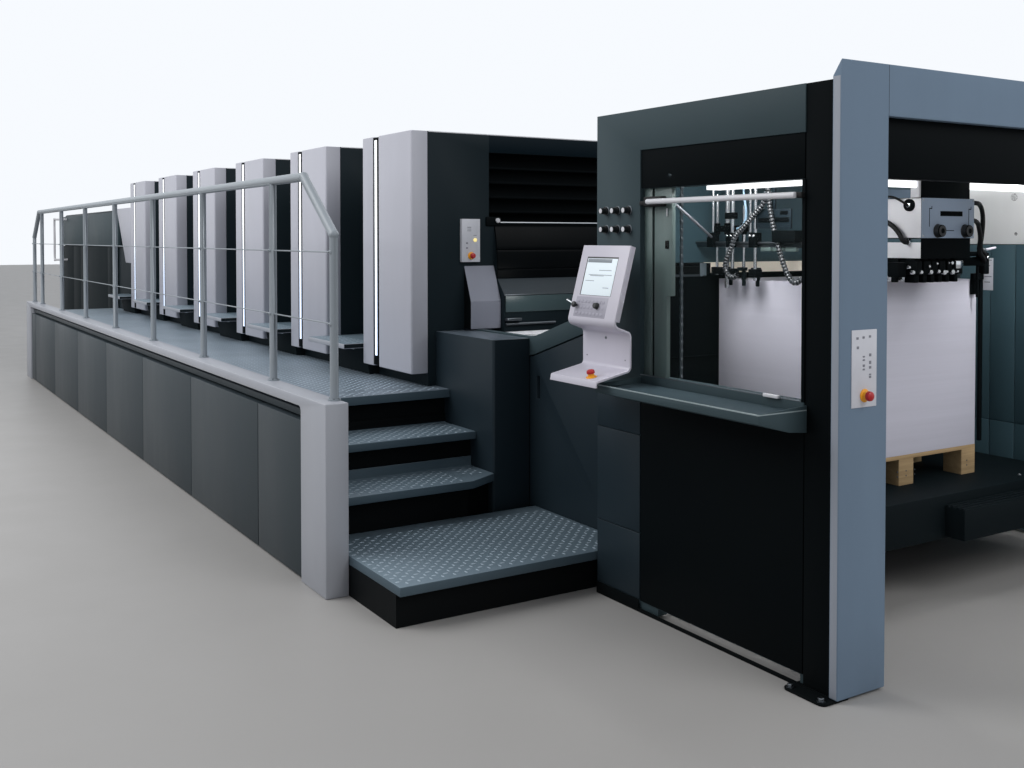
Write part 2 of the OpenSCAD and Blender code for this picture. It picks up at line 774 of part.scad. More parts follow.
// Black cover behind the portal's lintel, sloped at its back
module feeder_canopy() {
  low_z = machine_h - lintel_h - 209;
  color("#08090a")
  across(-feeder_inner_y + fit_gap, feeder_inner_y - fit_gap) polygon([
    [portal_x - 70, low_z], [portal_x - fit_gap, low_z], [portal_x - fit_gap, roof_z],
    [portal_x - 190, roof_z], [portal_x - 190, roof_z - 60]]);
}

// Black panels of one side: lower panel, strip beside the portal, panel under the beam
module black_panels(closed) {
  high_from = closed ? sill_z - 58 : window_z + 2;
  across(-panel_y - panel_t, -panel_y) {
    pane([window_x + 2, 48], [strip_x - seam, tray_low_z + 40]);
    pane([strip_x, 16], [portal_x - fit_gap, side_h]);
    pane([window_x + 2, high_from], [strip_x - seam, beam_z - 2]);
  }
}

module feeder_lower_panels() {
  color("#0f1417") {
    black_panels(false);
    mirror([0, 1, 0]) black_panels(true);
  }
}

// Blue-black panels on the lower part of the far post
module corner_panels() {
  seams = [50, 332, 745, tray_low_z + 40];
  color("#27343c") {
    for (k = [0:2])
      block([feeder_x, -panel_y - panel_t, seams[k] + seam / 2], [window_x - seam, -panel_y, seams[k + 1] - seam / 2]);
    for (k = [0:2])
      block([drive_wall_x, panel_y, seams[k] + seam / 2], [window_x - seam, panel_y + panel_t, seams[k + 1] - seam / 2]);
  }
}

// Panels on the inside of the drive side's wall
module drive_side_lining() {
  split_z = 577;
  splits = [drive_wall_x + 20 + fit_gap, window_x - 90, window_x + 58, lining_end_x + seam];
  color("#41565c")
  for (k = [0:2], z = [[14, split_z], [split_z + seam, lining_header_z - seam]])
    block([splits[k], feeder_inner_y - panel_t, z[0]], [splits[k + 1] - seam, feeder_inner_y, z[1]]);
}

module lining_header() {
  color("#cfd1cf")
  block([drive_wall_x + 20 + fit_gap, feeder_inner_y - 10, lining_header_z],
        [lining_end_x, feeder_inner_y, lining_light_z - 4]);
}

// Light strips: under the beam at the window and along the drive side's wall
module feeder_lights() {
  color("#f6f8f4") {
    block([window_x + 340, -feeder_inner_y, beam_z - 177],
          [strip_x - 20, -feeder_inner_y + 70, beam_z - 147]);
    block([feeder_x, feeder_inner_y - 46, lining_light_z],
          [lining_end_x, feeder_inner_y, lining_light_z + 30]);
  }
}

module feeder_window() {
  color("#9fb4b8", 0.35)
  block([window_x + fit_gap, -feeder_y + 18, sill_z + fit_gap],
        [window_end_x - fit_gap, -feeder_y + 24, window_z - fit_gap]);
}

// Fixed stile and the sash's stile behind the left edge of the window's sheet
module window_stiles() {
  stile_y = feeder_y - 24;
  notch_z = sill_z + 336;
  color("#6f8480") {
    across(-stile_y, -stile_y + 20) pane([window_x + fit_gap, sill_z], [window_x + 50, window_z]);
    across(-stile_y, -stile_y + 20) polygon([
      [window_x + 65, sill_z], [window_x + 143, sill_z], [window_x + 143, notch_z],
      [window_x + 174, notch_z], [window_x + 174, window_z], [window_x + 65, window_z]]);
  }
}

module window_handle() {
  tube_z = window_z - 56;
  low = window_x + 92;
  high = window_end_x - 2;
  stand_off = 42;
  tube_r = 15;
  color("#e6e8ec")
  union() {
    bar([low, -feeder_y - stand_off, tube_z], [high, -feeder_y - stand_off, tube_z], tube_r);
    for (span = [[window_x + 22, low + 46], [high - 34, high]])
      block([span[0], -feeder_y - stand_off + 4, tube_z - tube_r],
            [span[1], -feeder_y + 18, tube_z + tube_r]);
  }
}

// Open trough of bent sheet under the window, its ends closed
module feeder_tray() {
  outer_y = -feeder_y - tray_reach;
  lip_h = 33;
  rim_w = 12;
  bend = [-feeder_y - 0.37 * tray_reach, tray_low_z + 8];
  outline = [[-feeder_y, tray_low_z], bend, [outer_y, tray_rim_z - lip_h], [outer_y, tray_rim_z]];
  inner = [[outer_y + rim_w, tray_rim_z], [outer_y + rim_w, tray_rim_z - tray_t],
           [outer_y + tray_t, tray_rim_z - tray_t], [outer_y + tray_t, tray_rim_z - lip_h + tray_t],
           bend + [0, tray_t], [-feeder_y, tray_low_z + tray_t]];
  low = window_x + 4;
  high = strip_x + 14;
  color("#7d8d96")
  union() {
    along(low, high) polygon(concat(outline, inner));
    for (x = [low, high - tray_t])
      along(x, x + tray_t) polygon(concat(outline, [[-feeder_y, sill_z - 8]]));
  }
}

// Console of one bent sheet: shelf, back, neck and rolled panel, with the flat box
// behind the screen and the arm that carries it on the feeder's post
module console() {
  back_y = -feeder_y - 109;
  shelf_y = back_y - 172;
  shelf_z = sill_z + 26;
  neck_z = sill_z + 168;
  neck_turn = 70;
  bend_r = 26;
  roll_r = 20;
  panel_low = [back_y - 78, sill_z + 234];
  panel_top = [back_y + 4, sill_z + 538];
  way = (panel_top - panel_low) / norm(panel_top - panel_low);
  inward = [way[1], -way[0]];
  lean = atan2(way[1], way[0]);
  roll = arc(panel_low + roll_r * inward, roll_r, 180 + neck_turn, 90 + lean, 6);
  path = concat([[shelf_y, shelf_z - 53], [shelf_y, shelf_z - 35]],
                arc([back_y - bend_r, shelf_z + bend_r - 4], bend_r, -80, 0, 5),
                arc([back_y - bend_r, neck_z], bend_r, 0, neck_turn, 5), roll, [panel_top]);
  depth = console_box_t * inward;
  color("#c9c8de")
  union() {
    along(console_x, console_x + console_w) polygon(concat(path, backwards(beside(path, console_t))));
    along(console_x + 3, console_x + console_w - 3) polygon([
      panel_low, panel_top, panel_top + depth, panel_low + depth]);
    block([console_x + 20, back_y - 2, sill_z + 50], [console_x + 110, -feeder_y, sill_z + 110]);
  }
}

// Six round knobs on the far post, each a collar with a cap
module control_knobs() {
  color("#2a2c2e")
  for (k = [0:2], z = [sill_z + 608, sill_z + 688])
    translate([feeder_x + 70 + k * knob_pitch, -feeder_y, z]) rotate([90, 0, 0]) union() {
      cylinder(r = 17, h = 12);
      cylinder(r = 13, h = 34);
    }
}

module control_plates() {
  color("#dfe2ea") {
    translate([first_unit_x + fit_gap, -side_y + 204, ledge_z + 40 - unit_plate_h])
      cube([25, unit_plate_w, unit_plate_h]);
    translate([front_x, -feeder_y + 56, sill_z - 4])
      cube([3, portal_plate_w, portal_plate_h]);
  }
}

// Head over the rear edge of the pile: cross beam, hanger plate, control box with
// its two knobs, lower box, and the bars that carry it from the front
module suction_head() {
  bar_z = head_z + 60;
  bar_far_x = head_x - head_l - 560;
  knob_y = 0.26 * head_face_w;
  knob_z = head_face_z + 32;
  side_y = head_y - head_face_w;
  color("#1b1f23")
  union() {
    block([head_x - 210, -feeder_inner_y, head_beam_z], [head_x - 20, feeder_inner_y, roof_z - 10]);
    block([head_x - 45, side_y - 8, head_top_z - 1], [head_x - 5, head_y - 34, head_beam_z + 20]);
    block([head_x - head_l, side_y, head_face_z], [head_x, head_y, head_top_z]);
    block([head_x - head_l + 20, side_y + 10, head_z], [head_x - 8, head_y - 14, head_face_z + 1]);
    for (y = [-knob_y, knob_y])
      bar([head_x - 1, y, knob_z], [head_x + 26, y, knob_z], 26);
    for (y = [side_y + 50, head_y - 50])
      bar([bar_far_x, y, bar_z], [head_x - head_l + 30, y, bar_z], 13);
    bar([bar_far_x + 60, -0.56 * sheet_w, bar_z], [bar_far_x + 60, 0.56 * sheet_w, bar_z], 12);
  }
}

// Lifting and forwarding suckers under the head, each a rod, a spring sleeve and a foot
module suckers() {
  foot_z = pile_top_z + 10;
  color("#3a3e42")
  for (x = [head_x - head_l + 60, head_x - head_l + 130], y = [-165, -65, 35, 110])
    translate([x, y, foot_z]) union() {
      cylinder(r = 17, h = 10);
      cylinder(r = 8, h = head_z - foot_z);
      translate([0, 0, 30]) cylinder(r = 13, h = 46);
    }
}

// Hose of radius r along its points: one closed tube, mitred at each bend
module hose(points, r) {
  sides = 10;
  last = len(points) - 1;
  rings = [for (k = 0, ring = first_ring(points, r, sides); k <= last; k = k + 1,
                ring = k <= last ? next_ring(ring, points, k) : []) ring];
  polyhedron([for (ring = rings, corner = ring) corner], concat(
    [[for (j = [0:sides - 1]) j], [for (j = [sides - 1:-1:0]) last * sides + j]],
    [for (k = [0:last - 1], j = [0:sides - 1])
      let (a = k * sides + j, b = k * sides + (j + 1) % sides) [a, a + sides, b + sides, b]]));
}

// Hoses and cables of the suction head and of the front rods
module head_hoses() {
  color("#101214") {
    for (route = hose_routes) hose(route, hose_r);
    for (route = cable_routes) hose(route, hose_r / 2);
  }
}

// Side view of a strand of roller chain: plates waisted between the pins
module chain_plate(from_z, links) {
  waist = chain_pin_r * 0.62;
  for (k = [0:links - 1])
    translate([chain_x, from_z + k * chain_pitch]) {
      circle(r = chain_pin_r + 3, $fn = 16);
      translate([-waist, 0]) square([2 * waist, chain_pitch]);
    }
}

// One hoist strand with its rollers, hung from its sprocket on the shaft
module hoist_strand() {
  foot_z = board_z - board_t + 40;
  links = floor((hoist_z - foot_z) / chain_pitch);
  from_z = hoist_z - links * chain_pitch;
  for (y = [-chain_y - chain_half_w, -chain_y + chain_half_w - chain_plate_t])
    across(y, y + chain_plate_t) chain_plate(from_z, links);
  for (k = [0:links])
    translate([chain_x, -chain_y, from_z + k * chain_pitch])
      rotate([90, 0, 0]) cylinder(r = chain_pin_r, h = 2 * chain_half_w, center = true, $fn = 16);
}

module sprocket() {
  tooth = 360 / sprocket_teeth;
  root_r = sprocket_r - chain_pin_r;
  tip_r = sprocket_r + chain_pin_r * 0.7;
  points = [for (k = [0:sprocket_teeth - 1], s = [-0.32, -0.12, 0.12, 0.32])
    let (r = (abs(s) < 0.2) ? tip_r : root_r, a = (k + 0.5 + s) * tooth) r * [cos(a), sin(a)]];
  rotate([90, 0, 0]) linear_extrude(2 * chain_half_w - 2 * chain_plate_t - 1, center = true) polygon(points);
}

module hoist_chains() {
  shaft_r = 22;
  color("#30353a")
  union() {
    both_sides() {
      hoist_strand();
      translate([chain_x + sprocket_r, -chain_y, hoist_z]) sprocket();
    }
    bar([chain_x + sprocket_r, -feeder_inner_y, hoist_z], [chain_x + sprocket_r, feeder_inner_y, hoist_z], shaft_r);
  }
}

// Rods that keep the stack's sides in line, on their clamps, and the rear stops on
// the carriers that reach out of the head
module pile_guides() {
  stop_x = pile_x + 6;
  stop_t = 36;
  half_w = 22;
  clamp_half_w = 28;
  rod_x = stop_x + 26;
  color("#17191c") {
    both_sides() union() {
      bar([rods_x, -rods_y, pile_top_z - 40], [rods_x, -rods_y, roof_z], 14);
      bar([rods_x + 110, -rods_y, pile_top_z - 20], [rods_x + 110, -rods_y, head_z + 240], 9);
      bar([rods_x - 70, -rods_y, pile_top_z + 20], [rods_x - 70, -rods_y, head_z + 300], 8);
      block([rods_x - 84, -rods_y - 18, guide_z + 120], [rods_x + 126, -rods_y + 18, guide_z + 150]);
      block([rods_x - 90, -rods_y - 22, pile_top_z + 24], [rods_x + 24, -rods_y + 22, pile_top_z + 58]);
    }
    for (side = [-1, 1])
      let (y = side * rear_guide_y, head_end_y = side > 0 ? head_y - 14 : head_y - head_face_w + 10) union() {
        block([stop_x, y - half_w, pile_z + 18], [stop_x + stop_t, y + half_w, guide_z - 20]);
        block([stop_x, y - clamp_half_w, guide_z - 110], [stop_x + 50, y + clamp_half_w, guide_z + 30]);
        block([stop_x + 4, min(y, head_end_y), guide_z + 6], [stop_x + 34, max(y, head_end_y), guide_z + 28]);
        bar([rod_x, y - side * 60, guide_z - 190], [rod_x, y - side * 60, guide_z + 16], 9);
      }
  }
}

// Lifting board with the ribbed step in front and the lugs that meet the chains
module pile_board() {
  low_z = board_z - board_t;
  step_top_z = board_z - 46;
  rib_pitch = board_step_l / 4;
  lug_half_l = 34;
  color("#1d2225")
  union() {
    block([board_far_x, -board_w / 2, low_z], [board_x, board_w / 2, board_z]);
    block([board_x - 1, -26, low_z + 10], [board_x + board_step_l, board_w / 2 - 90, step_top_z]);
    for (k = [0:3])
      block([board_x + k * rib_pitch + 6, -26, step_top_z - 1],
            [board_x + k * rib_pitch + 18, board_w / 2 - 90, step_top_z + 7]);
    both_sides()
      block([chain_x - lug_half_l, -board_w / 2 - lug_t, low_z + 20],
            [chain_x + lug_half_l, -board_w / 2 + 1, board_z - 12]);
  }
}

// Pallet: blocks, three runners along the press and boards across them
module pallet() {
  runner_z = pile_z - 2 * pallet_board_t;
  deck_board_z = pile_z - pallet_board_t;
  boards = 6;
  board_step = (sheet_l - pallet_block_w) / (boards - 1);
  rows = [-sheet_w / 2, -pallet_block_w / 2, sheet_w / 2 - pallet_block_w];
  color("#b39a78")
  union() {
    for (y = rows) {
      block([pile_x - sheet_l, y, runner_z], [pile_x, y + pallet_block_w, deck_board_z + 0.5]);
      for (x = [pile_x - sheet_l, pile_x - (sheet_l + pallet_block_w) / 2, pile_x - pallet_block_w])
        block([x, y, board_z], [x + pallet_block_w, y + pallet_block_w, runner_z + 0.5]);
    }
    for (k = [0:boards - 1])
      block([pile_x - sheet_l + k * board_step, -sheet_w / 2, deck_board_z],
            [pile_x - sheet_l + k * board_step + pallet_block_w, sheet_w / 2, pile_z]);
  }
}

module paper_stack() {
  color("#d5d3e6")
  block([pile_x - sheet_l, -sheet_w / 2, pile_z], [pile_x, sheet_w / 2, pile_top_z]);
}

// Sloping table and the bar that stops the stack's front edge
module feed_table() {
  bar_half_w = sheet_w * 0.565;
  bar_low_z = pile_top_z + 15;
  table_far_x = first_unit_x + cabinet_l - 70;
  table_sink = 60;
  color("#5d6a70")
  union() {
    across(-cover_y + cover_t, cover_y - cover_t) polygon([
      [table_far_x, deck_z], [base_near_x, deck_z], [base_near_x, sill_z], [table_x, sill_z],
      [table_x, cover_top_z - table_sink - cover_slope * (feeder_x - table_x)],
      [table_far_x, cover_flat_z - table_sink]]);
    block([table_x - 16, -bar_half_w, sill_z], [table_x, bar_half_w, bar_low_z + 1]);
    block([table_x - 20, -bar_half_w, bar_low_z], [table_x + 26, bar_half_w, bar_low_z + 61]);
  }
}

// Dark plate on each side of the feed table with a finger grip cut into it
module feed_table_covers() {
  top_gap = cover_band_h + 6;
  grip_x = first_unit_x + cabinet_l + 60;
  color("#1f2a30")
  both_sides() difference() {
    across(-cover_y, -cover_y + cover_t) polygon([
      [first_unit_x, 0], [feeder_x, 0], [feeder_x, cover_top_z - top_gap],
      [cover_break_x, cover_flat_z - top_gap], [first_unit_x, cover_flat_z - top_gap]]);
    block([grip_x, -cover_y - 1, 738], [grip_x + 30, -cover_y + 22, 857]);
  }
}

// Lighter band along the top of each side cover, level first and then rising
module cover_bands() {
  color("#4b5b62")
  both_sides() across(-cover_y - band_proud, -cover_y + cover_t) polygon([
    [first_unit_x, cover_flat_z - cover_band_h], [cover_break_x, cover_flat_z - cover_band_h],
    [feeder_x, cover_top_z - cover_band_h], [feeder_x, cover_top_z], [cover_break_x, cover_flat_z],
    [first_unit_x, cover_flat_z]]);
}

module side_cabinet() {
  bevel = 10;
  x1 = first_unit_x + cabinet_l;
  color("#2b3b42")
  both_sides() linear_extrude(cabinet_h) polygon([
    [first_unit_x + fit_gap, -feeder_y], [x1 - bevel, -feeder_y], [x1, -feeder_y + bevel],
    [x1, -cover_y - band_proud - fit_gap], [first_unit_x + fit_gap, -cover_y - band_proud - fit_gap]]);
}

// Grey box on the first unit's face, just above the cabinet
module cabinet_guard() {
  low_z = cover_flat_z + fit_gap;
  color("#8d959c")
  both_sides() across(-side_y + 230, -cheek_y - 2) polygon([
    [first_unit_x + fit_gap, low_z], [first_unit_x + box_reach, low_z],
    [first_unit_x + box_reach, low_z + box_face_h], [first_unit_x + fit_gap, low_z + box_h]]);
}

module transfer_cover() {
  top_z = delivery_h - 3;
  color("#c9ccd6")
  both_sides() across(-half_w, -side_y) polygon([
    [last_unit_x, guard_z - 39], [last_unit_x, top_z], [last_unit_x - cover_top_l, top_z],
    [last_unit_x - cover_foot_l, guard_z - 39]]);
}

// Delivery with the opening for its pile at the end, and the part that joins the last unit
module delivery_housing() {
  mouth_half_w = 640;
  mouth_depth = 950;
  mouth_top_z = 1380;
  edge = 30;
  color("#3a444b")
  difference() {
    union() {
      along(end_x, delivery_x) polygon([
        [-side_y, 0], [side_y, 0], [side_y, delivery_h - edge], [side_y - edge, delivery_h],
        [-side_y + edge, delivery_h], [-side_y, delivery_h - edge]]);
      block([delivery_x - 1, -side_y, deck_z], [last_unit_x, side_y, delivery_h - 60]);
    }
    block([end_x - 1, -mouth_half_w, -1], [end_x + mouth_depth, mouth_half_w, mouth_top_z]);
  }
}

module delivery_panels() {
  low_z = 1470;
  middle_x = (end_x + delivery_x) / 2;
  color("#6f7f83")
  both_sides() for (span = [[end_x, middle_x - seam / 2], [middle_x + seam / 2, delivery_x]])
    block([span[0], -side_y - 40, low_z], [span[1], -side_y, delivery_h - 30]);
}

// Lower doors of the delivery; the second and fourth are narrow and lighter in colour
module delivery_doors() {
  light_end_x = end_x + end_door_l + light_door_l;
  narrow_x = delivery_x - narrow_door_setback;
  splits = [end_x, end_x + end_door_l, light_end_x, narrow_x - narrow_door_l, narrow_x, gallery_far_x];
  low_z = 90;
  top_z = 1462;
  color("#232b30")
  both_sides() for (k = [0:len(splits) - 2])
    block([splits[k] + seam / 2, -side_y - 34, low_z], [splits[k + 1] - seam / 2, -side_y, top_z]);
}

machine_base();
feeder_portal();
portal_feet();
feeder_side_frame(feeder_x, true);  // feeder_side_frame_os
mirror([0, 1, 0]) feeder_side_frame(drive_wall_x, false);  // feeder_side_frame_ds
feeder_roof();
feeder_canopy();
feeder_lower_panels();
corner_panels();
drive_side_lining();
lining_header();
feeder_lights();
feeder_window();
window_stiles();
window_handle();
feeder_tray();
console();
control_knobs();
control_plates();
suction_head();
suckers();
head_hoses();
hoist_chains();
pile_guides();
pile_board();
pallet();
paper_stack();
feed_table();
feed_table_covers();
cover_bands();
side_cabinet();
cabinet_guard();
for (i = [0:unit_count - 1])
  printing_unit(i);
unit_doors();
light_bars();
cylinder_guards();
guard_glass();
guard_rods();
transfer_drums();
step_plates();
gallery_frame();  // gallery_frame_os
mirror([0, 1, 0]) gallery_frame();  // gallery_frame_ds
skirt_panels();
walkways();
railing();  // railing_os
mirror([0, 1, 0]) railing();  // railing_ds
podiums();
stair_treads();
stair_risers();
transfer_cover();
delivery_housing();
delivery_panels();
delivery_doors();
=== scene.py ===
"""Sheet-fed offset printing press: its finishes, small pieces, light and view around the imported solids."""
import json
import math
from contextlib import contextmanager

import bpy
from mathutils import Matrix, Vector

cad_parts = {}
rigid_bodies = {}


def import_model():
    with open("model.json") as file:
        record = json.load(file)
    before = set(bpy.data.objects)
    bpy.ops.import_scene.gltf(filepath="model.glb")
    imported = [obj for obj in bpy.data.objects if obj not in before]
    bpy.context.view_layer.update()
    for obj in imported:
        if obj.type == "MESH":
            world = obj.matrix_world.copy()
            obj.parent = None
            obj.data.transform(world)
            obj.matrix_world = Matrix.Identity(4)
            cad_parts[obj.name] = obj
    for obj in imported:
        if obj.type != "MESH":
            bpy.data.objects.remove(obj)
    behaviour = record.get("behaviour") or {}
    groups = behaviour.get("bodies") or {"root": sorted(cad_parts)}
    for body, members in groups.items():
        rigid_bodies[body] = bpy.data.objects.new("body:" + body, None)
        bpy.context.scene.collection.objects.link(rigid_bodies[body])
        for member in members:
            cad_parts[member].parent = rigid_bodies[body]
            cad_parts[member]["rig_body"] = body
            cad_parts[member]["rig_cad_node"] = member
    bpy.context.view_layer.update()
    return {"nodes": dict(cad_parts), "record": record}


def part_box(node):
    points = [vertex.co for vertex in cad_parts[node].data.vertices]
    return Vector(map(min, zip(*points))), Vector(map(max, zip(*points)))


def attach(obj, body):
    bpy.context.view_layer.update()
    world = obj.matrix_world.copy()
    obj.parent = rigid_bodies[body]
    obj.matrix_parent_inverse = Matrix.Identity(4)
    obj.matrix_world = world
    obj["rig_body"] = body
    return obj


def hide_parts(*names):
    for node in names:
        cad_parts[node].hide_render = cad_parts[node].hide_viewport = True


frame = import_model()

# The view of the photograph
EYE = Vector((9.765, -4.106, 1.570))
VIEW_HEADING = math.radians(31.742)
VIEW_DIP = math.radians(1.348)
LENS_MM = 37.93
VIEW_SHIFT_Y = -0.1175

# Small sizes that many pieces share, in metres and radians
MM = 0.001
MERGE_DISTANCE = 0.00001
FLAT_ANGLE = math.radians(0.5)
CREASE_ANGLE = math.radians(9)
SMOOTH_ANGLE = math.radians(32)
SHARP_ANGLE = math.radians(34)
STEEP = 0.9  # upward share from which a direction counts as upright

# Shares and sizes that the finishes share
PEEL_SCALE = 520.0
FINE_SCALE = 900.0
GRIME_SHARE = 0.25
GRIME_COLOUR = "1b1a18"


def linear(hex_colour):
    """A written colour such as 3f4a52 as linear red, green and blue."""
    shares = [int(hex_colour[i:i + 2], 16) / 255 for i in (0, 2, 4)]
    return [s / 12.92 if s <= 0.04045 else ((s + 0.055) / 1.055) ** 2.4 for s in shares]


def only(piece):
    """Selects one piece and makes it the active one."""
    if bpy.context.mode != "OBJECT":
        bpy.ops.object.mode_set(mode="OBJECT")
    bpy.ops.object.select_all(action="DESELECT")
    piece.select_set(True)
    bpy.context.view_layer.objects.active = piece


class Value:
    """A number on a surface that changes from place to place, for shader maths."""

    def __init__(self, finish, socket):
        self.finish = finish
        self.socket = socket

    def math(self, operation, *others):
        return self.finish.node("ShaderNodeMath", {"operation": operation}, "Value", self, *others)

    def __add__(self, other):
        return self.math("ADD", other)

    def __sub__(self, other):
        return self.math("SUBTRACT", other)

    def __rsub__(self, other):
        return self.finish.node("ShaderNodeMath", {"operation": "SUBTRACT"}, "Value", other, self)

    def __mul__(self, other):
        return self.math("MULTIPLY", other)

    def clamped(self):
        return self.math("MINIMUM", 1.0).math("MAXIMUM", 0.0)


class Finish:
    """One material: its shader with fixed values, and the nodes that vary it over the surface."""

    def __init__(self, name, colour, roughness, metallic=0.0, specular=0.5):
        self.material = bpy.data.materials.new(name)
        self.material.use_nodes = True
        self.tree = self.material.node_tree
        self.shader = self.tree.nodes["Principled BSDF"]
        self.colour = linear(colour)
        self.material.diffuse_color = (*self.colour, 1.0)
        fixed = {"Base Color": (*self.colour, 1.0), "Roughness": roughness, "Metallic": metallic,
                 "Specular IOR Level": specular}
        for socket, value in fixed.items():
            self.shader.inputs[socket].default_value = value
        self.place = None

    def node(self, kind, settings, result, *values, **named):
        """Adds a node, sets it up, gives its sockets values or links, and returns one of its results."""
        made = self.tree.nodes.new(kind)
        for key, value in settings.items():
            setattr(made, key, value)
        self.feed(zip(list(made.inputs)[:len(values)], values))
        self.feed((made.inputs[key], value) for key, value in named.items())
        return Value(self, made.outputs[result])

    def feed(self, sockets):
        """Links each socket to its value, or sets it where the value is fixed."""
        for socket, value in sockets:
            if isinstance(value, Value):
                self.tree.links.new(value.socket, socket)
            else:
                socket.default_value = value

    def coordinates(self, stretch=(1, 1, 1)):
        """Place on the piece, stretched along its axes."""
        if self.place is None:
            self.place = self.node("ShaderNodeTexCoord", {}, "Object")
        if stretch == (1, 1, 1):
            return self.place
        return self.node("ShaderNodeMapping", {}, "Vector", Vector=self.place, Scale=stretch)

    def noise(self, scale, detail=2.0, stretch=(1, 1, 1)):
        return self.node("ShaderNodeTexNoise", {}, "Fac", Vector=self.coordinates(stretch),
                         Scale=scale, Detail=detail)

    def height(self):
        """Height above the floor, in metres."""
        return self.node("ShaderNodeSeparateXYZ", {}, "Z", Vector=self.coordinates())

    def blend(self, share, first, second):
        """A colour between two, each linear numbers or a result."""
        ends = [end if isinstance(end, Value) else (*end, 1.0) for end in (first, second)]
        made = self.tree.nodes.new("ShaderNodeMix")
        made.data_type = "RGBA"
        self.feed(zip((made.inputs[0], made.inputs[6], made.inputs[7]), (share, *ends)))
        return Value(self, made.outputs[2])

    def give(self, socket, value):
        self.tree.links.new(value.socket, self.shader.inputs[socket])

    def bump(self, height, distance, strength=1.0):
        """A fine relief of the given depth in metres."""
        self.give("Normal", self.node("ShaderNodeBump", {}, "Normal", Height=height,
                                      Distance=distance, Strength=strength))

    def shaded(self, amount):
        """The finish's colour, lighter and darker by a share."""
        return [min(1.0, c * (1 + amount)) for c in self.colour]

    def vary(self, share, amount):
        """Shifts the colour darker and lighter with a value from 0 to 1."""
        self.give("Base Color", self.blend(share, self.shaded(-amount), self.shaded(amount)))


def enamel(name, colour, roughness=0.42, specular=0.5, grain=0.00006):
    """Stoved paint with a fine orange peel, faint clouds and a little dirt near the floor."""
    paint = Finish(name, colour, roughness, specular=specular)
    cloud = paint.noise(1.7, 4.0)
    streaks = paint.noise(9.0, 3.0, (1.0, 1.0, 0.16))
    even = paint.blend(cloud * 0.6 + streaks * 0.4, paint.shaded(-0.13), paint.shaded(0.13))
    low = (1 - paint.height() * 4.0).clamped() * paint.noise(7.0, 5.0) * GRIME_SHARE
    paint.give("Base Color", paint.blend(low, even, linear(GRIME_COLOUR)))
    paint.give("Roughness", cloud * 0.14 + streaks * 0.08 + (roughness - 0.11))
    paint.bump(paint.noise(PEEL_SCALE, 1.0), grain)
    return paint.material


def bare_steel(name, colour, roughness):
    """Ground steel with fine lines along the piece."""
    steel = Finish(name, colour, roughness, metallic=1.0)
    lines = steel.noise(600.0, 3.0, (1.0, 0.03, 1.0))
    steel.vary(steel.noise(6.0, 3.0) * 0.5 + lines * 0.5, 0.16)
    steel.give("Roughness", lines * 0.22 + (roughness - 0.11))
    steel.bump(lines, 0.00003)
    return steel.material


def tread_metal(name, colour):
    """Chequer plate, worn lighter and smoother where feet pass."""
    plate = Finish(name, colour, 0.42, metallic=0.2)
    wear = plate.noise(2.3, 5.0)
    scratches = plate.noise(260.0, 2.0, (1.0, 0.12, 1.0))
    plate.vary(wear * 0.7 + scratches * 0.3, 0.22)
    plate.give("Roughness", 0.56 - wear * 0.22 - scratches * 0.08)
    plate.bump(scratches, 0.00004)
    return plate.material


def sheets(name, colour):
    """The side of a stack of sheets: fine level lines that differ a little in shade."""
    paper = Finish(name, colour, 0.62, specular=0.3)
    fine = paper.noise(FINE_SCALE, 2.0, (0.003, 0.003, 1.0))
    broad = paper.noise(34.0, 3.0, (0.02, 0.02, 1.0))
    paper.vary(fine * 0.45 + broad * 0.55, 0.10)
    paper.bump(fine * 0.6 + broad * 0.4, 0.0006, 0.6)
    return paper.material


def pallet_boards(name, colour):
    """Raw softwood with long grain."""
    wood = Finish(name, colour, 0.7, specular=0.25)
    grain = wood.noise(30.0, 6.0, (1.0, 0.08, 1.6))
    fibre = wood.noise(240.0, 3.0, (1.0, 0.04, 1.0))
    wood.give("Base Color", wood.blend(grain * 0.7 + fibre * 0.3, linear("7d6242"), linear("d9bd92")))
    wood.bump(grain * 0.5 + fibre * 0.5, 0.0009)
    return wood.material


def clear_sheet(name, colour, share):
    """Clear guard sheet: mostly seen through, with a soft reflection and a faint tint."""
    glass = Finish(name, colour, 0.06, specular=0.6)
    smear = glass.noise(3.1, 4.0, (1.0, 1.0, 0.4))
    glass.give("Alpha", smear * 0.008 + share)
    glass.give("Roughness", smear * 0.10 + 0.02)
    glass.material.surface_render_method = "BLENDED"
    return glass.material


def lit(name, colour, strength, low="ffffff", high="ffffff", change=1.0):
    """Opal cover of a light strip, which may turn from one shade to another at a height in metres; also the painted
    glow of a bar that is no lamp.
    """
    opal = Finish(name, colour, 0.5)
    opal.shader.inputs["Emission Strength"].default_value = strength
    share = ((opal.height() - change) * 2.0 + 0.5 + opal.noise(14.0) * 0.06).clamped()
    opal.give("Emission Color", opal.blend(share, linear(low), linear(high)))
    return opal.material


def plastic(name, colour, roughness=0.45, specular=0.5):
    """Moulded plastic with a fine eroded surface."""
    moulded = Finish(name, colour, roughness, specular=specular)
    fine = moulded.noise(FINE_SCALE, 2.0)
    moulded.vary(moulded.noise(20.0, 3.0), 0.08)
    moulded.give("Roughness", fine * 0.16 + (roughness - 0.08))
    moulded.bump(fine, 0.00005)
    return moulded.material


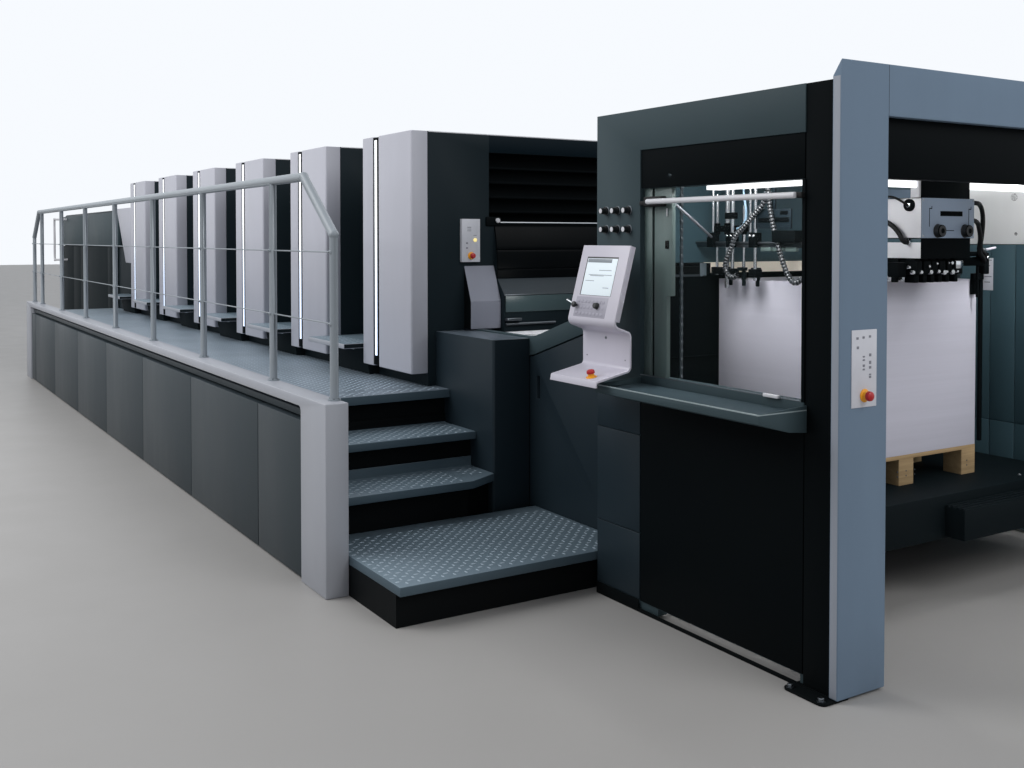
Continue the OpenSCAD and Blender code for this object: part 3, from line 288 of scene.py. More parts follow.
# Every finish with what its maker takes: its colour first, then how rough and how shiny it is
ENAMELS = {
    "dark_casting": ("1b252a", 0.5, 0.08),
    "blue_grey_paint": ("73869a", 0.52, 0.12, 0.00016),
    "green_grey_paint": ("3b494e", 0.5, 0.12),
    "white_paint": ("dddde2", 0.35),
    "dark_panel": ("1f2a31", 0.48, 0.16),
    "black_panel": ("0b0f11", 0.55, 0.02),
    "teal_panel": ("415a63", 0.48, 0.3),
    "pale_panel": ("dfe0e0", 0.45),
    "stile_paint": ("5f706e", 0.42),
    "black_metal": ("0c1012", 0.5, 0.03),
    "guard_black": ("0a0d0f", 0.4, 0.05),
    "board_metal": ("10171a", 0.55, 0.05),
    "table_metal": ("56636a", 0.42),
    "console_paint": ("c9c6d2", 0.38),
    "light_panel": ("b9bac4", 0.42, 0.4),
    "mid_grey_paint": ("8b8e9b", 0.45, 0.3),
    "frame_paint": ("a4a7af", 0.42),
    "rail_paint": ("8f979e", 0.38),
    "skirt_paint": ("2e373c", 0.46, 0.22),
    "riser_black": ("0b0e10", 0.55, 0.05),
    "side_enamel": ("959ba6", 0.48, 0.3),
    "band_enamel": ("2c353b", 0.42, 0.3),
    "face_enamel": ("9fb0c6", 0.42, 0.35),
    "rim_enamel": ("8e9b9e", 0.4),
    "tread_lip": ("4b5b65", 0.5, 0.2),
    # cabinet_top: its own, shinier paint for a painted highlight on the cabinet's top
    "cabinet_top": ("5b656f", 0.32, 0.5),
    "deep_panel": ("1e2528", 0.6, 0.03),
    "header_blue": ("0c181f", 0.5, 0.05),
    # guide_sheet: the plate's lighter green-grey is partly a painted reflection
    "guide_sheet": ("47585b", 0.32, 0.4),
}
STEELS = {
    "chain_steel": ("747b80", 0.4),
    "drum_steel": ("b4b8bd", 0.24),
    "chrome": ("d2d5d8", 0.14),
    "dark_steel": ("6b7075", 0.34),
}
TREADS = {
    "tread_plate": ("6f818d",),
    "walkway_plate": ("76838f",),
    "lentil_metal": ("a3b3bf",),
}
PLASTICS = {
    "black_plastic": ("191b1d", 0.42),
    "white_plate": ("cfd0d8", 0.4),
    "grey_mark": ("7b7d86", 0.5),
    "black_rubber": ("0e0f10", 0.6, 0.25),
    "stop_red": ("b3171c", 0.32),
    "stop_yellow": ("f0a51f", 0.4),
    "screen_grey": ("8b939b", 0.4),
    "key_grey": ("a5a3b0", 0.45),
    "ribbed_black": ("17191b", 0.22, 0.7),
    "cable_blue": ("9fc3dd", 0.35),
    # rib_grey: lighter than the hose, partly a painted sheen on the ribs
    "rib_grey": ("4d5155", 0.2, 0.8),
    "tray_mat": ("33434a", 0.6, 0.25),
}
LIT_COVERS = {
    "light_diffuser": ("e9f3f7", 1.4, "cfe0ff", "ffffff", 1.45),
    "lamp_amber": ("f6e6a0", 0.7, "f2d98a", "f2d98a"),
    "screen_light": ("c9d3d9", 0.42, "d3e0e6", "dfe8ee", 1.45),
    # cream_bar: painted light, a glow for the light falling on a bar that is no lamp
    "cream_bar": ("efe6d6", 0.22, "f3e9d8", "f3e9d8"),
}
FINISHES = {
    "clear_guard": clear_sheet("clear_guard", "6f8484", 0.006),
    "pallet_wood": pallet_boards("pallet_wood", "b39a78"),
    "paper": sheets("paper", "d6d5e2"),
}
for maker, looks in ((enamel, ENAMELS), (bare_steel, STEELS), (tread_metal, TREADS), (plastic, PLASTICS),
                     (lit, LIT_COVERS)):
    FINISHES.update({name: maker(name, *look) for name, look in looks.items()})

slot_of = {row["node"]: row["material_slot"] for row in frame["record"]["subparts"]}
body_of = {node: body for body, nodes in frame["record"]["behaviour"]["bodies"].items() for node in nodes}


def wear(piece, slot):
    """Gives a piece this finish and no other."""
    piece.data.materials.clear()
    piece.data.materials.append(FINISHES[slot])
    slot in slot_of.values()


def modify(piece, kind, **settings):
    """Adds one modifier with these settings and applies it."""
    only(piece)
    bpy.ops.object.modifier_add(type=kind)
    modifier = piece.modifiers[-1]
    for key, value in settings.items():
        setattr(modifier, key, value)
    bpy.ops.object.modifier_apply(modifier=modifier.name)


@contextmanager
def edited(piece):
    """Opens a piece for editing with all of it selected, and closes it afterwards."""
    only(piece)
    bpy.ops.object.mode_set(mode="EDIT")
    bpy.ops.mesh.select_all(action="SELECT")
    yield
    bpy.ops.object.mode_set(mode="OBJECT")


def smooth(piece, angle=SMOOTH_ANGLE):
    """Shades a piece smooth, apart from edges sharper than the angle."""
    only(piece)
    bpy.ops.object.shade_smooth_by_angle(angle=angle)


def stand_in(node):
    """A copy of a CAD node with its doubled corners merged, that will stand in for it."""
    only(frame["nodes"][node])
    bpy.ops.object.duplicate()
    piece = bpy.context.object
    piece.name = node + "_dressed"
    piece.parent = None
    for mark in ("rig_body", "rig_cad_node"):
        if mark in piece:
            del piece[mark]
    with edited(piece):
        bpy.ops.mesh.remove_doubles(threshold=MERGE_DISTANCE)
        bpy.ops.mesh.dissolve_limited(angle_limit=FLAT_ANGLE)
        bpy.ops.mesh.normals_make_consistent(inside=False)
    return piece


def take_over(piece, node):
    """Gives a stand-in its node's finish and body, and hides the node."""
    wear(piece, slot_of[node])
    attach(piece, body_of[node])
    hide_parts(node)
    return piece


def soften(node, width):
    """Stands in for a CAD node with the same solids, their sharp edges rounded."""
    piece = stand_in(node)
    modify(piece, "BEVEL", width=width, segments=2, limit_method="ANGLE", angle_limit=SHARP_ANGLE,
           use_clamp_overlap=True)
    smooth(piece)
    return take_over(piece, node)


for node, solid in frame["nodes"].items():
    solid.data.materials.clear()
    solid.data.materials.append(FINISHES[slot_of[node]])

# Width in millimetres of the rounded edges of each node that gets them
SOFT_EDGES = {
    "unit_doors": 5, "gallery_frame_os": 5, "gallery_frame_ds": 5, "skirt_panels": 2, "feeder_portal": 4,
    "feeder_side_frame_os": 3, "feeder_side_frame_ds": 3, "console": 2.5, "feeder_tray": 1.5,
    "corner_panels": 2, "feeder_lower_panels": 2, "side_cabinet": 3, "cabinet_guard": 4,
    "feed_table_covers": 3, "cover_bands": 3, "podiums": 4, "stair_treads": 4, "step_plates": 3,
    "paper_stack": 1.5, "pallet": 2, "pile_board": 3, "suction_head": 3, "control_plates": 2,
    "window_stiles": 1, "delivery_housing": 4, "delivery_panels": 5,
    "delivery_doors": 4, "transfer_cover": 5, "feeder_roof": 3, "feeder_canopy": 3, "lining_header": 3,
    "drive_side_lining": 2.5, "portal_feet": 2, "cylinder_guards": 2, "guard_glass": 1,
    "feed_table": 3, "walkways": 2,
}
SOFT_EDGES.update({"printing_unit_%d" % k: 3 for k in range(1, 7)})
dressed = {node: soften(node, width * MM) for node, width in SOFT_EDGES.items()}


def paint_faces(node, finish, chosen):
    """Gives another finish to the faces of a softened node whose middle, in millimetres, and normal are chosen."""
    piece = dressed[node]
    piece.data.materials.append(FINISHES[finish])
    for face in piece.data.polygons:
        if chosen(face.center / MM, face.normal):
            face.material_index = len(piece.data.materials) - 1


def apply_place(piece):
    """Applies a piece's place, turn and scale to its mesh."""
    only(piece)
    bpy.ops.object.transform_apply(location=True, rotation=True, scale=True)
    return piece


def slab(low, high, soft=1.0, segments=2):
    """Block between two corners with rounded edges, all in millimetres."""
    low, high = Vector(low) * MM, Vector(high) * MM
    bpy.ops.object.select_all(action="DESELECT")
    bpy.ops.mesh.primitive_cube_add(size=1.0, location=(low + high) / 2, scale=high - low)
    piece = apply_place(bpy.context.object)
    with edited(piece):
        bpy.ops.mesh.bevel(offset=soft * MM, segments=segments, affect="EDGES")
    return piece


def turned(steps, sides=24):
    """Round piece that stands on the origin, extruded through steps of radius and height in millimetres."""
    radius, height = steps[0]
    bpy.ops.object.select_all(action="DESELECT")
    bpy.ops.mesh.primitive_circle_add(vertices=sides, radius=radius * MM, fill_type="NGON",
                                      location=(0, 0, height * MM))
    piece = apply_place(bpy.context.object)
    with edited(piece):
        for next_radius, next_height in steps[1:]:
            bpy.ops.mesh.extrude_region_move(
                TRANSFORM_OT_translate={"value": (0, 0, (next_height - height) * MM)})
            bpy.ops.transform.resize(value=(next_radius / radius, next_radius / radius, 1.0))
            radius, height = next_radius, next_height
        bpy.ops.mesh.select_all(action="SELECT")
        bpy.ops.mesh.normals_make_consistent(inside=False)
    return piece


def placed(piece, origin, right=(1, 0, 0), up=(0, 1, 0)):
    """Moves a piece from the flat plane at the origin to a plane on the press, in millimetres."""
    right, up = Vector(right).normalized(), Vector(up).normalized()
    turn = Matrix((right, up, right.cross(up))).transposed().to_4x4()
    piece.matrix_world = Matrix.Translation(Vector(origin) * MM) @ turn
    return apply_place(piece)


def front_plane(x, y, z):
    """A plane that faces the feeder's end, for placed."""
    return {"origin": (x, y, z), "right": (0, 1, 0), "up": (0, 0, 1)}


def side_plane(x, y, z):
    """A plane that faces the operator's side, for placed."""
    return {"origin": (x, y, z), "right": (1, 0, 0), "up": (0, 0, 1)}


def stood_along(piece, start, way):
    """Stands a round piece on a point in millimetres, its axis along a direction."""
    across = way.cross(Vector((0, 0, 1)) if abs(way.z) < STEEP else Vector((0, 1, 0)))
    return placed(piece, start, across, way.cross(across))


def rod(start, end, radius, sides=16, soft=1.0):
    """Round bar between two points with rounded ends, in millimetres."""
    start, end = Vector(start), Vector(end)
    length = (end - start).length
    bar = turned([(radius - soft, 0), (radius, soft), (radius, length - soft), (radius - soft, length)], sides)
    return stood_along(bar, start, (end - start).normalized())


def curve_through(points, radius=0.0):
    """Smooth curve through points in millimetres, turned to a mesh: a line, or a tube of this radius."""
    bpy.ops.object.select_all(action="DESELECT")
    bpy.ops.curve.primitive_bezier_curve_add(location=(0, 0, 0))
    curve = bpy.context.object
    spline = curve.data.splines[0]
    spline.bezier_points.add(len(points) - 2)
    for knot, point in zip(spline.bezier_points, points):
        knot.co = Vector(point) * MM
        knot.handle_left_type = knot.handle_right_type = "AUTO"
    curve.data.bevel_depth = radius * MM
    curve.data.bevel_resolution = 3
    curve.data.resolution_u = 8
    curve.data.use_fill_caps = radius > 0
    only(curve)
    bpy.ops.object.convert(target="MESH")
    return bpy.context.object


def ribs_along(points, radius, pitch):
    """Ribs of a corrugated hose, one every pitch along its smooth centre line."""
    line = curve_through(points)
    path = [vertex.co / MM for vertex in line.data.vertices]
    bpy.data.objects.remove(line)
    ribs, walked = [], pitch / 2
    for start, end in zip(path, path[1:]):
        length = (end - start).length
        while walked < length:
            way = (end - start).normalized()
            foot, crown, top = pitch * 0.36, pitch * 0.16, radius + 2.6
            rib = turned([(radius, -foot), (top, -crown), (top, crown), (radius, foot)], 14)
            ribs.append(stood_along(rib, start + way * walked, way))
            walked += pitch
        walked -= length
    return ribs


def joined(parts):
    """Several parts as one piece."""
    only(parts[0])
    for part in parts[1:]:
        part.select_set(True)
    if len(parts) > 1:
        bpy.ops.object.join()
    return bpy.context.object



def row(piece, count, step):
    """The piece repeated count times along a step in millimetres, as one mesh."""
    modify(piece, "ARRAY", count=count, use_relative_offset=False, use_constant_offset=True,
           constant_offset_displace=Vector(step) * MM)
    return piece


def mirrored(piece):
    """A copy of the piece on the other side of the press."""
    only(piece)
    bpy.ops.object.duplicate()
    twin = bpy.context.object
    twin.scale.y = -1.0
    with edited(apply_place(twin)):
        bpy.ops.mesh.flip_normals()
    return twin


def fitted(name, parts, finish, body="press", stands_for=()):
    """Joins parts to one named piece, finishes it and lets it ride on its body."""
    piece = joined(list(parts))
    piece.name = name
    smooth(piece)
    wear(piece, finish)
    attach(piece, body)
    if stands_for:
        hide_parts(*stands_for)
    return piece


def both_sides(name, parts, finish, stands_for=()):
    """The parts as one piece on the operator's side, and their mirror image on the drive side."""
    whole = joined(parts)
    fitted(name + "_ds", [mirrored(whole)], finish)
    fitted(name + "_os", [whole], finish, stands_for=stands_for)


SKY_COLOUR = (0.93, 0.96, 1.0, 1.0)
SKY_LIGHT, SKY_SEEN = 0.45, 0.55
# Lamps: place and aim in metres, side in metres, power in watts
LAMPS = {
    "operator_lamp": ((1.5, -8.0, 7.5), (0.5, 0.0, 0.8), 7.0, 620.0),
    "feeder_lamp": ((13.0, 1.0, 6.5), (5.0, 0.0, 0.8), 5.0, 260.0),
    "drive_lamp": ((0.0, 9.0, 7.0), (0.0, 0.0, 0.8), 7.0, 260.0),
    "window_lamp": ((6.55, -1.0, 1.96), (6.3, -0.4, 0.95), 0.5, 13.0),
    "head_lamp": ((6.90, 0.45, 1.94), (6.4, 1.2, 1.6), 0.2, 8.0),
    "face_lamp": ((7.02, -0.05, 1.92), (6.77, -0.02, 1.62), 0.25, 0.3),
    "drum_lamp": ((4.86, -0.80, 1.32), (4.68, -0.88, 1.04), 0.12, 0.45),
}
SENSOR_MM = 36.0
FAR_CLIP = 200.0


def add_floor():
    """A wide pale studio floor."""
    bpy.ops.object.select_all(action="DESELECT")
    bpy.ops.mesh.primitive_plane_add(size=120.0, location=(0, 0, 0))
    floor = bpy.context.object
    floor.name = "floor"
    pale = Finish("pale_floor", "a6a4a2", 0.5, specular=0.35)
    pale.vary(pale.noise(0.7, 5.0), 0.05)
    pale.give("Roughness", pale.noise(3.0, 4.0) * 0.2 + 0.36)
    floor.data.materials.append(pale.material)


def add_lights():
    """A soft sky, brighter where it is seen than where it lights, large lamps outside and small ones in the feeder."""
    world = bpy.data.worlds.new("studio")
    world.use_nodes = True
    bpy.context.scene.world = world
    nodes, links = world.node_tree.nodes, world.node_tree.links
    background = nodes["Background"]
    background.inputs["Color"].default_value = SKY_COLOUR
    rays = nodes.new("ShaderNodeLightPath").outputs
    seen, shiny, strength = (nodes.new("ShaderNodeMath") for _ in range(3))
    seen.operation = shiny.operation = "MAXIMUM"
    strength.operation = "MULTIPLY_ADD"
    strength.inputs[1].default_value = SKY_SEEN
    strength.inputs[2].default_value = SKY_LIGHT
    for result, socket in ((rays["Is Camera Ray"], seen.inputs[0]), (rays["Is Transmission Ray"], seen.inputs[1]),
                           (rays["Is Glossy Ray"], shiny.inputs[0]), (seen.outputs[0], shiny.inputs[1]),
                           (shiny.outputs[0], strength.inputs[0]), (strength.outputs[0], background.inputs["Strength"])):
        links.new(result, socket)
    for name, (place, aim, size, power) in LAMPS.items():
        bpy.ops.object.select_all(action="DESELECT")
        bpy.ops.object.light_add(type="AREA", location=place)
        lamp = bpy.context.object
        lamp.name = name
        lamp.data.size = size
        lamp.data.energy = power
        lamp.visible_camera = False
        lamp.rotation_euler = (Vector(aim) - Vector(place)).to_track_quat("-Z", "Y").to_euler()


def add_camera():
    """The photograph's view."""
    bpy.ops.object.select_all(action="DESELECT")
    bpy.ops.object.camera_add(location=EYE)
    camera = bpy.context.object
    ahead = Vector((-math.cos(VIEW_HEADING) * math.cos(VIEW_DIP),
                    math.sin(VIEW_HEADING) * math.cos(VIEW_DIP), -math.sin(VIEW_DIP)))
    camera.rotation_euler = ahead.to_track_quat("-Z", "Y").to_euler()
    camera.data.sensor_width = SENSOR_MM
    camera.data.lens = LENS_MM
    camera.data.shift_y = VIEW_SHIFT_Y
    camera.data.clip_end = FAR_CLIP
    bpy.context.scene.camera = camera


# Places on the press that the pieces share, in millimetres
FEEDER_Y = 1286.0
FACE_X = 7285.0
UNIT_X = [4393.0 - 1244.0 * k for k in range(6)]  # feeder side of each printing unit
UNIT_LENGTH = 658.0
DECK_Z = 742.0
HEAD_X = 6769.0
GUIDE_Y = -545.0
CARRIER_X = (5912, 6043, 6190)
CHAIN_X, CHAIN_Y, CHAIN_TOP_Z = 6113.0, 968.0, 1957.0
RAIL_Y = 2270.0
# Middle height of the corners that move, how far from it they lie, their lift, and how much of their size stays
RAIL_MOVES = ((1382, 8, 127, 0.55), (1130, 8, 60, 0.55), (1565, 25, 25, 1.0), (1822, 30, 37, 1.0))
POST_X = [5302.0, -3505.0] + [4507.0 - 1244.0 * k for k in range(7)]
WIRE_Z = (1190, 1509)
STEP_LIP_Z, STEP_TOP_Z = 888, 892
LENTIL_PITCH = 55.0
LENTIL_STEPS = [(10, 0), (7, 1.3), (3.4, 2.0)]


def lentil_field(x0, x1, y0, y1, z):
    """Raised lentils of chequer plate over a level rectangle, every second one turned."""
    along = turned(LENTIL_STEPS, 6)
    along.scale = (0.56, 1.42, 1.0)
    apply_place(along)
    across = turned(LENTIL_STEPS, 6)
    across.scale = (1.5, 0.56, 1.0)
    across.location = (LENTIL_PITCH / 2 * MM, LENTIL_PITCH / 2 * MM, 0)
    apply_place(across)
    field = joined([along, across])
    columns = int((x1 - x0 - 14) // LENTIL_PITCH)
    rows = int((y1 - y0 - 14) // LENTIL_PITCH)
    start = (x0 + (x1 - x0 - columns * LENTIL_PITCH) / 2 + LENTIL_PITCH / 4,
             y0 + (y1 - y0 - rows * LENTIL_PITCH) / 2 + LENTIL_PITCH / 4, z - 0.1)
    placed(field, start)
    row(field, columns, (LENTIL_PITCH, 0, 0))
    return row(field, rows, (0, LENTIL_PITCH, 0))


def dress_steps():
    """Chequer plate on the podiums, the treads, the walkways and the plates between the units."""
    _, podium_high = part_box("podiums")
    _, plate_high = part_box("step_plates")
    podium_high, plate_high = podium_high / MM, plate_high / MM
    fields = {
        "podium_lentils_os": [(5133, podium_high.x - 6, -2240, -1066, podium_high.z)],
        "podium_lentils_ds": [(5133, 5409, 1066, 2240, podium_high.z)],
        "walkway_lentils_os": [(-3590, 4394, -2240, -1342, DECK_Z)],
        "walkway_lentils_ds": [(-3590, 4394, 1342, 2240, DECK_Z)],
    }
    sides = (("os", -1), ("ds", 1))
    for tail, side in sides:
        fields["tread_lentils_" + tail] = [
            (x0, x1, *sorted((side * inner, side * outer)), z)
            for x0, x1, inner, outer, z in ((4800, 5127, 1466, 2240, 365.33), (4800, 5024, 1292, 1466, 365.33),
                                            (4500, 4846, 1292, 2240, 553.67), (4396, 4555, 1292, 2240, DECK_Z))]
    for tail, side in sides:
        width = sorted((side * 1345, side * (plate_high.y - 6)))
        fields["step_lentils_" + tail] = [(x - 1238, x - 664, *width, plate_high.z) for x in UNIT_X[:5]]
    for name, spans in fields.items():
        fitted(name, [lentil_field(*span) for span in spans], "lentil_metal")
    for node in ("podiums", "stair_treads", "walkways"):
        paint_faces(node, "tread_lip", lambda at, normal: normal.z < 0.5)
    paint_faces("stair_treads", "riser_black", lambda at, normal: at.z > 558)


def stop_button(head_radius):
    """Parts of an emergency button that stands on the origin: its collar, and its mushroom head."""
    r = head_radius
    collar = turned([(r * 1.32, -1), (r * 1.36, 1.5), (r * 1.3, 3), (r * 0.8, 6), (r * 0.78, 17)])
    head = turned([(r * 0.7, 15), (r * 0.98, 17), (r, 20), (r, 24), (r * 0.9, 29), (r * 0.6, 32), (r * 0.1, 33)])
    return collar, head


def dress_console():
    """Screen, keys, knob, grip and emergency button of the console."""
    face = {"origin": (5979, -1481.7, 1236.3), "right": (1, 0, 0), "up": (0, 0.2604, 0.9655)}
    fitted("screen_surround", [placed(slab((49, 99, -2), (264, 265, 0.9), 0.5), **face)], "black_plastic")
    fitted("screen", [placed(slab((56, 100, -2), (263, 258, 1.6), 0.4), **face)], "screen_light")
    lines = [slab((60, 240, 1), (226, 256, 2.2), 0.3)]
    for x0, x1, y in ((84, 244, 186), (96, 190, 182), (150, 236, 206), (70, 130, 160), (200, 240, 132)):
        lines.append(slab((x0, y, 1), (x1, y + 2.4, 2.0), 0.2))
    fitted("screen_lines", [placed(joined(lines), **face)], "screen_grey")
    keys = [slab((34, 6, -2), (254, 92, 0.7), 0.5)]
    for column in range(8):
        for line in range(3):
            if column not in (0, 5) or line != 1:
                x, y = 44 + column * 25, 14 + line * 26
                keys.append(slab((x, y, 0), (x + 16, y + 12, 2.2), 0.8))
    fitted("console_keys", [placed(joined(keys), **face)], "key_grey")
    knob = turned([(14, -1), (14.5, 2), (13, 4), (12.4, 15), (10.5, 18), (3, 18.5)])
    grip = turned([(5, -1), (5, 6), (10, 8), (13, 13), (13, 18), (10, 23), (4, 25)])
    placed(knob, (190, 55, 0))
    placed(grip, (44, 53, 0))
    fitted("console_knobs", [placed(joined([knob, grip]), **face)], "black_plastic")
    fitted("console_stick", [placed(rod((44, 53, 14), (6, 68, 30), 3.4), **face)], "chrome")
    shelf = {"origin": (6225, -1537, 1006.5), "right": (1, 0, 0), "up": (0, 0.98, 0.2)}
    collar, head = stop_button(17)
    fitted("console_stop_collar", [placed(collar, **shelf)], "stop_yellow")
    fitted("console_stop_head", [placed(head, **shelf)], "stop_red")
    screws = [placed(turned([(6, -1), (6, 2), (4.6, 3.4), (1, 3.5)], 16), **side_plane(6144, -1403.6, 1155))]
    for x in (6010, 6275):
        screws.append(placed(turned([(3, -1), (3, 1.2), (0.6, 1.5)], 12), **side_plane(x, -1403.6, 1072)))
    fitted("console_screws", screws, "dark_steel")


def dress_portal():
    """Small parts on the portal's front and foot."""
    marks = [slab((x, y, -0.6), (x + 11, y + high, 0.6), 0.25)
             for x, y, high in ((22, 232, 8), (52, 234, 8), (84, 236, 8), (24, 200, 9), (54, 170, 5), (54, 158, 6),
                                (86, 172, 10), (54, 138, 8), (54, 126, 6), (86, 146, 11), (86, 130, 9),
                                (86, 108, 5), (86, 98, 8))]
    fitted("portal_plate_marks", [placed(joined(marks), **front_plane(FACE_X + 3, -1230, 996))], "grey_mark")
    place = front_plane(FACE_X + 3, -1166, 1036)
    collar, head = stop_button(17)
    collar_sleeve = turned([(16, 0), (16, 14), (14, 16)])
    fitted("portal_stop_collar", [placed(joined([collar, collar_sleeve]), **place)], "stop_yellow")
    fitted("portal_stop_head", [placed(head, **place)], "stop_red")
    # Painted light: a lighter plate on each side face of the portal for the light that falls on its sides.
    side = slab((7251, -FEEDER_Y - 0.6, 14), (7281, -FEEDER_Y + 1, 2112), 0.5)
    fitted("portal_side_painted_light", [side, mirrored(side)], "side_enamel")
    seams = [slab((FACE_X - 0.6, y - 0.9, 1991), (FACE_X + 0.25, y + 0.9, 2166), 0.2, 1) for y in (-1048, 1048)]
    fitted("portal_seams", seams, "black_rubber")
    bolts = [placed(turned([(17, 9), (17, 12), (11, 12.5), (11, 20), (9, 22)], 6), (x, y, 0))
             for y in (-1326, 1326) for x in (7112, 7250)]
    fitted("portal_foot_bolts", bolts, "dark_steel")
    bracket = slab((7210, -1049, 560), (7216, -985, 632), 1)
    with edited(bracket):
        bpy.ops.mesh.bisect(plane_co=(7.2, -1.040, 0.632), plane_no=(0, 0.72, 0.45), use_fill=True, clear_outer=True)
    fitted("portal_corner_plate", [bracket], "console_paint")


def dress_feeder_side():
    """Handle, knob caps, latch and tray of the feeder on the operator's side, with a painted glint on the sill and
    painted shade along the foot of both sides.
    """
    fitted("handle_tube", [rod((6289, -1306, 1720), (7104, -1306, 1720), 11, 24, 3)], "white_paint",
           stands_for=("window_handle",))
    arms = [slab((6256, -1299, 1699), (6372, -1268, 1741), 6, 3), slab((6226, -1296, 1706), (6262, -1272, 1724), 4),
            slab((7092, -1303, 1710), (7127, -1268, 1730), 4, 3)]
    fitted("handle_brackets", arms, "black_rubber")
    caps, rims = [], []
    for x in (5989, 6068, 6147):
        for z in (1608, 1688):
            cap = turned([(11, -2), (11.4, 0), (9.5, 1.4), (1, 1.6)], 20)
            caps.append(placed(cap, **side_plane(x, -FEEDER_Y - 33.5, z)))
            rims.append(placed(turned([(20, 0), (20, 3), (18, 5)], 20), **side_plane(x, -FEEDER_Y + 1, z)))
    fitted("knob_caps", caps, "white_paint")
    fitted("knob_rims", rims, "dark_steel")
    latch = [slab((6359, -1268, 1527), (6378, -1261, 1561), 3, 3), rod((6368, -1272, 1536), (6368, -1266, 1536), 4)]
    fitted("window_latch", latch, "black_rubber")
    fitted("stile_pin", [rod((6370, -1266, 1659), (6370, -1266, 1692), 3, 12)], "white_paint")
    gaps = [slab((6270.5, -1256, 1001), (6286.5, -1246, 1775), 0.5),
            slab((7115.2, -1286.5, 1000.5), (7129.5, -1268, 1776), 0.5)]
    fitted("stile_gap", gaps, "black_panel")
    fitted("tray_floor", [slab((6231.5, -1508.5, 964), (7135.5, -1286.5, 967), 0.8)], "tray_mat")
    rims = [slab((6225, -1516.3, 974), (7142, -1511, 978.5), 0.8),
            slab((7136.5, -1516, 974), (7142.3, -1287, 978.5), 0.8),
            slab((6224.7, -1516, 974), (6230, -1287, 978.5), 0.8)]
    fitted("tray_rims", rims, "rim_enamel")
    # Painted highlight: a small white block on the sill for a glint there.
    fitted("sill_painted_glint", [slab((6944, -1300, 1000.2), (7018, -1287, 1013), 2.5)], "white_paint")
    fitted("window_edge", [slab((6222, -1284.6, 1000.2), (7114, -1281.6, 1003.6), 0.6)], "dark_steel")
    # Painted shade: black strips along the foot of the sides for the shadow gap under the panels.
    plinth = [slab((5920, -1287.2, 0.5), (6218, -1284.5, 51.5), 0.8),
              slab((6218, -1287.2, 0.5), (7246, -1281, 15.5), 0.8)]
    both_sides("feeder_plinth", plinth, "black_panel")


